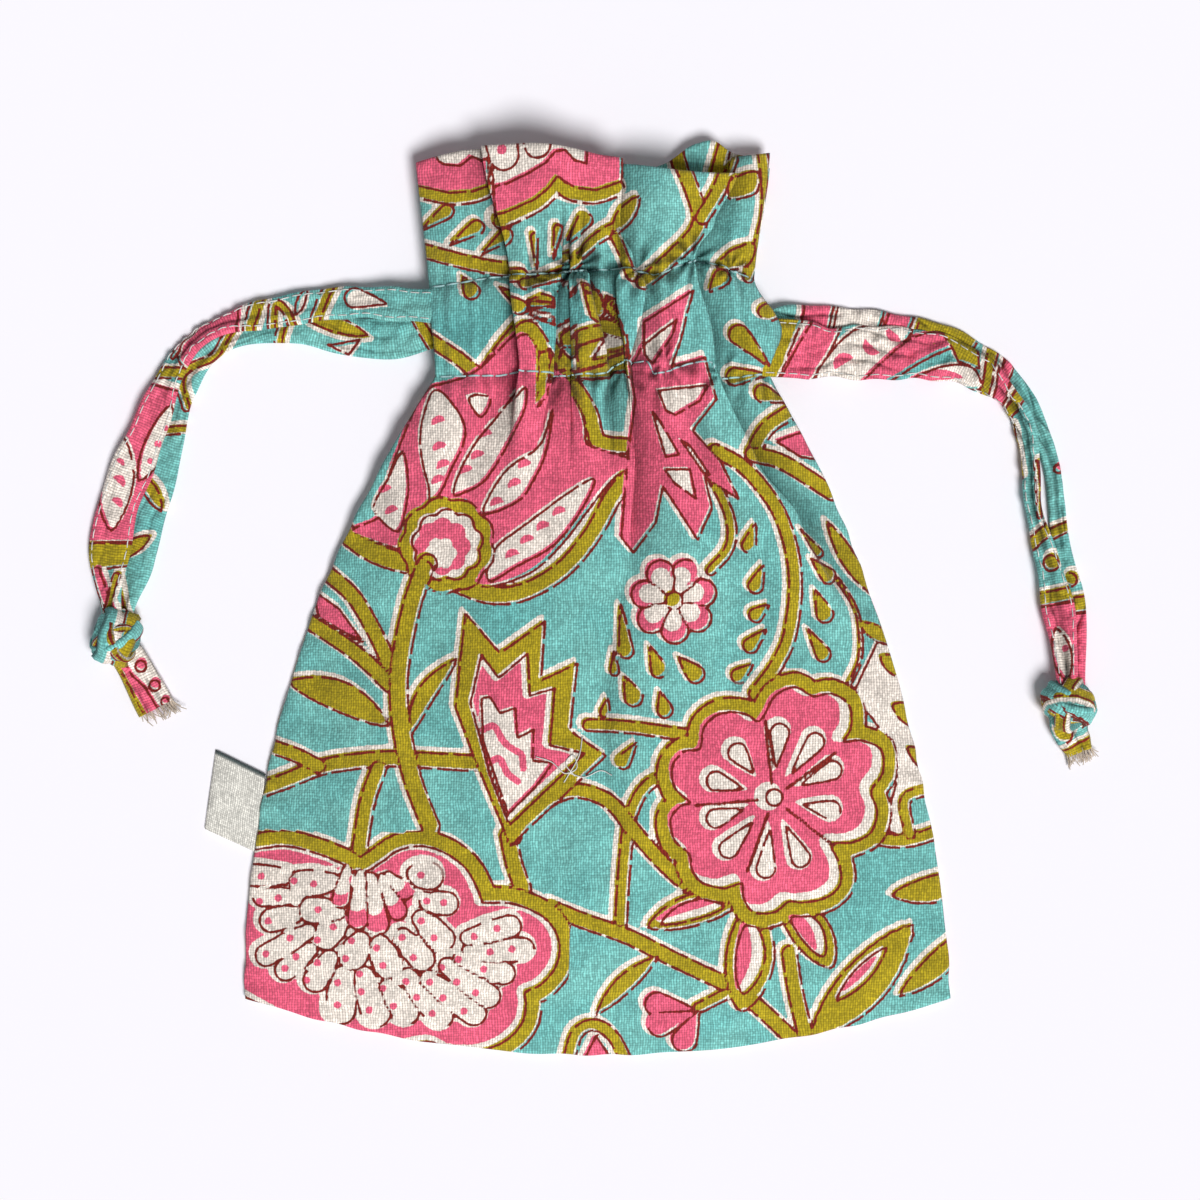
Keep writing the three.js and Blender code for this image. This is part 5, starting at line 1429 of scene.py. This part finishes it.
def make_fray(side, path, lay, material):
    """Loose yarn ends that stick out of a tail's cut edge."""
    rng = np.random.default_rng(len(side))
    across, _, widths, _ = lay
    ahead = path[-1] - path[-3]
    ahead /= np.linalg.norm(ahead)
    yarns = []
    for _ in range(FRAY_COUNT):
        place = rng.uniform(-0.5, 0.5) * widths[-1]
        start = path[-1] + across[-1] * place - ahead * 0.8 + [0, 0, rng.uniform(-0.4, 0.5)]
        reach = rng.uniform(1.2, 3.2)
        lean = across[-1] * rng.normal(0.0, 0.5) + np.array([0, 0, rng.normal(0.0, 0.12)])
        t = np.linspace(0.0, 1.0, 6)[:, None]
        yarn = start + ahead * (0.8 + reach) * t + lean * t ** 2 * reach * 0.6
        yarn[:, 2] = np.maximum(yarn[:, 2], FRAY_RADIUS)
        yarns.append(yarn)
    points, faces = tubes(yarns, FRAY_RADIUS)
    return make_piece(side + "_fray", points, faces, material)


# Label, seams and stray threads

LABEL_CORNERS = np.array([[(-75.6, -55.8), (-73.6, -38.6)], [(-87.0, -50.6), (-84.6, -33.2)]])
LABEL_THICK = 0.9


def make_label(material):
    """The folded woven label in the left seam: a thin slab with rounded fold, blank."""
    s, t = np.meshgrid(np.linspace(0.0, 1.0, 41), np.linspace(0.0, 1.0, 49), indexing="ij")
    near = LABEL_CORNERS[0, 0] * (1 - t)[..., None] + LABEL_CORNERS[0, 1] * t[..., None]
    far = LABEL_CORNERS[1, 0] * (1 - t)[..., None] + LABEL_CORNERS[1, 1] * t[..., None]
    plan = near * (1 - s)[..., None] + far * s[..., None]
    swell = 0.10 * np.sin(3.0 * t + 1.0) * s
    top = np.dstack([plan, LABEL_THICK + swell - 0.45 * bell((1 - s) / 0.05)])
    bottom = np.dstack([plan, 0.05 + np.zeros(s.shape)])
    points = np.vstack([top.transpose(1, 0, 2).reshape(-1, 3), bottom.transpose(1, 0, 2).reshape(-1, 3)])
    shape = (s.shape[1], s.shape[0])
    cloth = np.column_stack([np.tile(s.T.ravel(), 2) * 11.3, np.tile(t.T.ravel(), 2) * 17.4])
    edge = np.tile(smooth((t.T.ravel() - 0.945) / 0.02), 2)
    faces = shell_faces(shape, shape, turned=True)
    return make_piece("label_cloth", points, faces, material, {"selvedge": edge}, cloth)


STITCH = 2.8
STITCH_GAP = 0.6
THREAD = 0.24
TAPE_STITCH = 2.0
TAPE_STITCH_GAP = 0.7
TAPE_THREAD = 0.13


def make_casing_stitches(material):
    """Two rows of pale blue running stitch that close the casing on the front."""
    made = []
    for row in (1.0, 2.0):
        a = np.linspace(-0.985, 0.985, 1200)
        path = front_face(a, np.full(a.shape, row))
        up = np.tile([0.0, 0.0, 1.0], (len(a), 1))
        made += stitches(path, up, STITCH, STITCH_GAP, THREAD)
    points, faces = tubes(made, THREAD)
    return make_piece("casing_stitches", points, faces, material)


SEAM_INSET = 0.9


def make_tape_stitches(name, path, lay, material):
    """White running stitch along both edges of an upper strand."""
    side, face, widths, thick = lay
    made = []
    for edge in (-1, 1):
        across = edge * (widths / 2 - SEAM_INSET)
        level = np.sqrt(np.maximum(0.0, 1.0 - (2.0 * across / widths) ** 4))
        height = level * (thick / 2 + TAPE_CRUMPLE[name] * crumpled(run_of(path), across, len(name)))
        line = path + side * across[:, None] + face * height[:, None]
        made += stitches(line, face, TAPE_STITCH, TAPE_STITCH_GAP, TAPE_THREAD, 0.08)
    points, faces = tubes(made, TAPE_THREAD)
    return make_piece(name + "_stitches", points, faces, material)


STRAY = [[(-13.5, -34.0), (-10.0, -35.2), (-7.2, -37.6), (-4.6, -36.4), (-5.4, -33.6), (-7.0, -35.6), (-5.0, -38.2)],
         [(-6.6, -37.4), (-3.0, -38.4), (0.5, -37.0), (3.0, -38.0)],
         [(-7.4, -39.6), (-4.2, -34.0), (-3.4, -29.6)]]


def lying_height(x, y):
    """Height of the front cloth under a plan position on the body, by running the panel's own formula."""
    body = np.clip((NECK_Y - y) / BODY_DROP, 0.0, 1.0)
    for _ in range(6):
        a = np.clip(x / half_width(1.0 - body), -1.0, 1.0)
        body = np.clip((NECK_Y - y - BASE_SAG * body ** 1.6 * (1.0 - a * a)) / BODY_DROP, 0.0, 1.0)
    return front_face(a, 1.0 - body)[..., 2]


def make_stray(material):
    """A few loose ends of thread lying on the body."""
    yarns = []
    for route in STRAY:
        plan = spline(np.array(route), 8)
        height = lying_height(plan[:, 0], plan[:, 1]) + 0.2
        yarns.append(np.column_stack([plan, height]))
    points, faces = tubes(yarns, 0.13)
    return make_piece("stray_threads", points, faces, material)


# Materials

TURQUOISE = (0.195, 0.515, 0.475, 1.0)
TURQUOISE_DEEP = (0.115, 0.390, 0.375, 1.0)
WHITE = (0.815, 0.730, 0.650, 1.0)
OLIVE = (0.390, 0.298, 0.011, 1.0)
PINK = (0.770, 0.116, 0.202, 1.0)
MAROON = (0.185, 0.013, 0.008, 1.0)
THREAD_BLUE = (0.42, 0.66, 0.67, 1.0)
THREAD_WHITE = (0.78, 0.78, 0.75, 1.0)
LABEL_CREAM = (0.68, 0.66, 0.60, 1.0)
LABEL_DARK = (0.045, 0.065, 0.065, 1.0)
YARN_CREAM = (0.62, 0.52, 0.42, 1.0)


class Web:
    """Short hand for placing and linking nodes in a tree."""

    def __init__(self, tree):
        self.tree = tree

    def node(self, kind, **settings):
        made = self.tree.nodes.new(kind)
        for key, value in settings.items():
            setattr(made, key, value)
        return made

    def feed(self, socket, value):
        if isinstance(value, bpy.types.NodeSocket):
            self.tree.links.new(value, socket)
        else:
            socket.default_value = value

    def maths(self, operation, first, second=0.0, third=0.0):
        made = self.node("ShaderNodeMath", operation=operation)
        for socket, value in zip(made.inputs, (first, second, third)):
            self.feed(socket, value)
        return made.outputs[0]

    def blend(self, share, low, high):
        made = self.node("ShaderNodeMix", data_type="RGBA")
        self.feed(made.inputs["Factor"], share)
        self.feed(made.inputs[6], low)
        self.feed(made.inputs[7], high)
        return made.outputs[2]

    def ramp(self, value, low, high, start=0.0, end=1.0):
        made = self.node("ShaderNodeMapRange", interpolation_type="SMOOTHSTEP")
        for key, number in (("From Min", low), ("From Max", high), ("To Min", start), ("To Max", end)):
            made.inputs[key].default_value = number
        self.feed(made.inputs["Value"], value)
        return made.outputs["Result"]

    def noise(self, vector, scale, detail=2.0):
        made = self.node("ShaderNodeTexNoise")
        self.feed(made.inputs["Vector"], vector)
        made.inputs["Scale"].default_value = scale
        made.inputs["Detail"].default_value = detail
        return made.outputs["Fac"]

    def stretched(self, vector, scale):
        made = self.node("ShaderNodeVectorMath", operation="MULTIPLY")
        self.feed(made.inputs[0], vector)
        made.inputs[1].default_value = scale
        return made.outputs[0]


def group(name, inputs, outputs):
    """An empty node group with named sockets; returns its tree, web, entry and exit."""
    tree = bpy.data.node_groups.new(name, "ShaderNodeTree")
    for label, kind in inputs:
        tree.interface.new_socket(name=label, in_out="INPUT", socket_type=kind)
    for label, kind in outputs:
        tree.interface.new_socket(name=label, in_out="OUTPUT", socket_type=kind)
    web = Web(tree)
    return tree, web, web.node("NodeGroupInput"), web.node("NodeGroupOutput")


WEAVE_PITCH = 0.58
# How much the painted shade in folds, creases and knots darkens the colour
PAINTED_SHADE_DARKNESS = 0.66
LINE = 0.58


def weave_group():
    """Plain weave on cloth coordinates: over-and-under threads, thick and thin yarns, uneven dyeing."""
    tree, web, entry, out = group("plain_weave", [("Cloth", "NodeSocketVector")],
                                  [("Height", "NodeSocketFloat"), ("Shade", "NodeSocketFloat"), ("Slub", "NodeSocketFloat")])
    cloth = entry.outputs["Cloth"]
    bent = web.node("ShaderNodeVectorMath", operation="ADD")
    wander = web.node("ShaderNodeTexNoise")
    web.feed(wander.inputs["Vector"], cloth)
    wander.inputs["Scale"].default_value = 20.0
    shrunk = web.stretched(wander.outputs["Color"], (0.014, 0.014, 0.0))
    web.feed(bent.inputs[0], cloth)
    web.feed(bent.inputs[1], shrunk)
    parts = web.node("ShaderNodeSeparateXYZ")
    web.feed(parts.inputs[0], bent.outputs[0])
    turns = math.pi * 100.0 / WEAVE_PITCH
    warp = web.maths("SINE", web.maths("MULTIPLY", parts.outputs[0], turns))
    weft = web.maths("SINE", web.maths("MULTIPLY", parts.outputs[1], turns))
    cross = web.maths("MULTIPLY", warp, weft)
    ridge = web.maths("MAXIMUM", web.maths("ABSOLUTE", warp), web.maths("ABSOLUTE", weft))
    warp_slub = web.noise(web.stretched(cloth, (250.0, 16.0, 0.0)), 1.0, 1.0)
    weft_slub = web.noise(web.stretched(cloth, (16.0, 250.0, 0.0)), 1.0, 1.0)
    slub = web.maths("ADD", warp_slub, weft_slub)
    height = web.maths("MULTIPLY_ADD", cross, 0.35, web.maths("MULTIPLY", ridge, 0.5))
    cells = web.node("ShaderNodeVectorMath", operation="FLOOR")
    web.feed(cells.inputs[0], web.stretched(bent.outputs[0], (100.0 / WEAVE_PITCH,) * 3))
    grain = web.node("ShaderNodeTexWhiteNoise", noise_dimensions="2D")
    web.feed(grain.inputs["Vector"], cells.outputs[0])
    speckle = web.maths("MULTIPLY_ADD", grain.outputs["Value"], 0.14, 0.93)
    weft_shade = web.maths("MULTIPLY_ADD", web.maths("ABSOLUTE", weft), 0.25, 0.48)
    broken = web.maths("MULTIPLY_ADD", grain.outputs["Value"], 0.46, 0.33)
    threads = web.maths("MULTIPLY_ADD", web.maths("ABSOLUTE", warp), broken, weft_shade)
    even = web.maths("MULTIPLY", threads, web.maths("MULTIPLY_ADD", slub, 0.44, 0.56))
    clouds = web.maths("MULTIPLY_ADD", web.noise(cloth, 20.0, 3.0), 0.50, 0.75)
    shade = web.maths("MULTIPLY", web.maths("MULTIPLY", even, speckle), clouds)
    web.feed(out.inputs["Height"], web.maths("MULTIPLY_ADD", slub, 0.5, height))
    web.feed(out.inputs["Shade"], shade)
    web.feed(out.inputs["Slub"], slub)
    return tree


def ink_group():
    """Turns a distance inside a printed block into a mask with a slightly ragged edge."""
    tree, web, entry, out = group("ink_edge", [("Depth", "NodeSocketFloat"), ("Rag", "NodeSocketFloat")],
                                  [("Mask", "NodeSocketFloat")])
    ragged = web.maths("MULTIPLY_ADD", web.maths("SUBTRACT", entry.outputs["Rag"], 0.5), 0.55, entry.outputs["Depth"])
    web.feed(out.inputs["Mask"], web.ramp(ragged, -0.10, 0.10))
    return tree


def use(web, tree, **inputs):
    """Places a node group and feeds its inputs."""
    made = web.node("ShaderNodeGroup", node_tree=tree)
    for key, value in inputs.items():
        web.feed(made.inputs[key], value)
    return made.outputs


def new_material(name):
    """A node material; returns it with its web and its shader."""
    material = bpy.data.materials.new(name)
    material.use_nodes = True
    return material, Web(material.node_tree), material.node_tree.nodes["Principled BSDF"]


def printed_material(name, weave, ink, deep):
    """Block-printed cotton: ground, undyed white, pink, green and dark lines, under the weave, with painted shade laid
    into the colour.
    """
    material, web, shader = new_material(name)
    cloth = web.node("ShaderNodeUVMap", uv_map="cloth").outputs["UV"]
    thread = use(web, weave, Cloth=cloth)
    rag = web.noise(cloth, 130.0, 3.0)
    patchy = web.ramp(web.noise(cloth, 9.0, 2.0), 0.35, 0.7)
    field = {key: web.node("ShaderNodeAttribute", attribute_name=key).outputs["Fac"]
             for key in ("halo", "green", "bloom", "pink", "line", "gap")}
    mask = {key: use(web, ink, Depth=field[key], Rag=rag)["Mask"] for key in ("halo", "green", "bloom", "pink")}
    deep_shading = web.node("ShaderNodeAttribute", attribute_name="deep_shade").outputs["Fac"]
    # Painted shade and random blotches both darken the ground towards the deeper turquoise.
    colour = web.blend(web.maths("MAXIMUM", deep_shading, web.maths("MULTIPLY", patchy, deep)), TURQUOISE, TURQUOISE_DEEP)
    colour = web.blend(mask["halo"], colour, WHITE)
    colour = web.blend(mask["green"], colour, OLIVE)
    colour = web.blend(mask["bloom"], colour, web.blend(mask["pink"], WHITE, PINK))
    near_line = web.maths("SUBTRACT", LINE / 2, web.maths("ABSOLUTE", field["line"]))
    struck = use(web, ink, Depth=near_line, Rag=web.noise(cloth, 90.0, 2.0))["Mask"]
    unbroken = web.ramp(field["gap"], -0.1, 0.1, 1.0, 0.0)
    colour = web.blend(web.maths("MULTIPLY", struck, unbroken), colour, MAROON)
    reverse = web.node("ShaderNodeAttribute", attribute_name="wrong_side").outputs["Fac"]
    colour = web.blend(web.maths("MULTIPLY", reverse, 0.5), colour, WHITE)
    # Painted shade: the colour is darkened where the cloth lies in folds, creases and the hearts of knots.
    painted_shade = web.node("ShaderNodeAttribute", attribute_name="painted_shade").outputs["Fac"]
    open_share = web.maths("MULTIPLY_ADD", painted_shade, -PAINTED_SHADE_DARKNESS, 1.0)
    lit = web.node("ShaderNodeVectorMath", operation="SCALE")
    web.feed(lit.inputs[0], colour)
    web.feed(lit.inputs["Scale"], web.maths("MULTIPLY", thread["Shade"], open_share))
    web.feed(shader.inputs["Base Color"], lit.outputs[0])
    shader.inputs["Roughness"].default_value = 0.88
    shader.inputs["Specular IOR Level"].default_value = 0.18
    shader.inputs["Sheen Weight"].default_value = 0.08
    shader.inputs["Sheen Roughness"].default_value = 0.6
    bump = web.node("ShaderNodeBump")
    bump.inputs["Strength"].default_value = 0.5
    bump.inputs["Distance"].default_value = 0.00016
    web.feed(bump.inputs["Height"], thread["Height"])
    web.feed(shader.inputs["Normal"], bump.outputs[0])
    return material


def thread_material(name, tint):
    """Twisted sewing thread: fine slanted ridges and a slight change of tone along it."""
    material, web, shader = new_material(name)
    place = web.node("ShaderNodeTexCoord").outputs["Object"]
    twist = web.node("ShaderNodeTexWave", wave_type="BANDS", bands_direction="DIAGONAL")
    web.feed(twist.inputs["Vector"], place)
    twist.inputs["Scale"].default_value = 900.0
    tone = web.noise(place, 500.0, 1.0)
    dark = tuple(0.72 * c for c in tint[:3]) + (1.0,)
    web.feed(shader.inputs["Base Color"], web.blend(web.ramp(tone, 0.3, 0.7), dark, tint))
    shader.inputs["Roughness"].default_value = 0.7
    bump = web.node("ShaderNodeBump")
    bump.inputs["Strength"].default_value = 0.4
    bump.inputs["Distance"].default_value = 0.0001
    web.feed(bump.inputs["Height"], twist.outputs["Fac"])
    web.feed(shader.inputs["Normal"], bump.outputs[0])
    return material


def label_material(weave):
    """Cream woven tape with a dark selvedge along its upper edge."""
    material, web, shader = new_material("woven_cream_label")
    cloth = web.node("ShaderNodeUVMap", uv_map="cloth").outputs["UV"]
    thread = use(web, weave, Cloth=web.stretched(cloth, (1.3, 1.3, 1.0)))
    edge = web.node("ShaderNodeAttribute", attribute_name="selvedge").outputs["Fac"]
    colour = web.blend(edge, LABEL_CREAM, LABEL_DARK)
    lit = web.node("ShaderNodeVectorMath", operation="SCALE")
    web.feed(lit.inputs[0], colour)
    web.feed(lit.inputs["Scale"], thread["Shade"])
    web.feed(shader.inputs["Base Color"], lit.outputs[0])
    shader.inputs["Roughness"].default_value = 0.75
    bump = web.node("ShaderNodeBump")
    bump.inputs["Strength"].default_value = 0.5
    bump.inputs["Distance"].default_value = 0.00012
    web.feed(bump.inputs["Height"], thread["Height"])
    web.feed(shader.inputs["Normal"], bump.outputs[0])
    return material


# Putting the pouch together

make_camera()
make_light()
make_floor()
bpy.context.scene.view_settings.view_transform = "Standard"

weave = weave_group()
ink = ink_group()
printed = printed_material("printed_cotton", weave, ink, 0.55)
taped = printed_material("printed_tape", weave, ink, 0.7)
blue_thread = thread_material("blue_sewing_thread", THREAD_BLUE)
white_thread = thread_material("white_sewing_thread", THREAD_WHITE)
yarn = thread_material("frayed_yarn", YARN_CREAM)
label_cloth = label_material(weave)


def dress(piece, slot_name, *nodes):
    """Fixes a piece to the pouch and hides the solids that it stands for; the name of its finish is not used."""
    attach(piece, "root")
    if nodes:
        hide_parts(*nodes)
    return piece


front = dress(make_front(printed), "printed_cotton", "front_panel")
back = dress(make_back(printed), "printed_cotton", "back_panel")

CORD_LENGTHS = {}
for side, lane in (("left", 0.68), ("right", 0.32)):
    node = side + "_drawstring"
    knot = dress(make_knot(side, taped), "printed_tape", side + "_knot")
    tail, tail_path, tail_lay = make_tail(side, taped)
    dress(tail, "printed_tape", side + "_knot")
    fray = dress(make_fray(side, tail_path, tail_lay, yarn), "sewing_thread")
    loop = make_loop(side + "_held_loop", lane, -1 if side == "left" else 1, taped)
    dress(loop, "printed_tape", node)
    for layer in ("front", "back"):
        name = side + "_" + layer
        strand, path, lay = make_strand(name, taped)
        dress(strand, "printed_tape", node)
        riders = []
        if layer == "front":
            riders = [knot, tail, fray, dress(make_tape_stitches(name, path, lay, white_thread), "sewing_thread")]

dress(make_label(label_cloth), "woven_label", "side_label")
dress(make_casing_stitches(blue_thread), "sewing_thread")
dress(make_stray(white_thread), "sewing_thread")
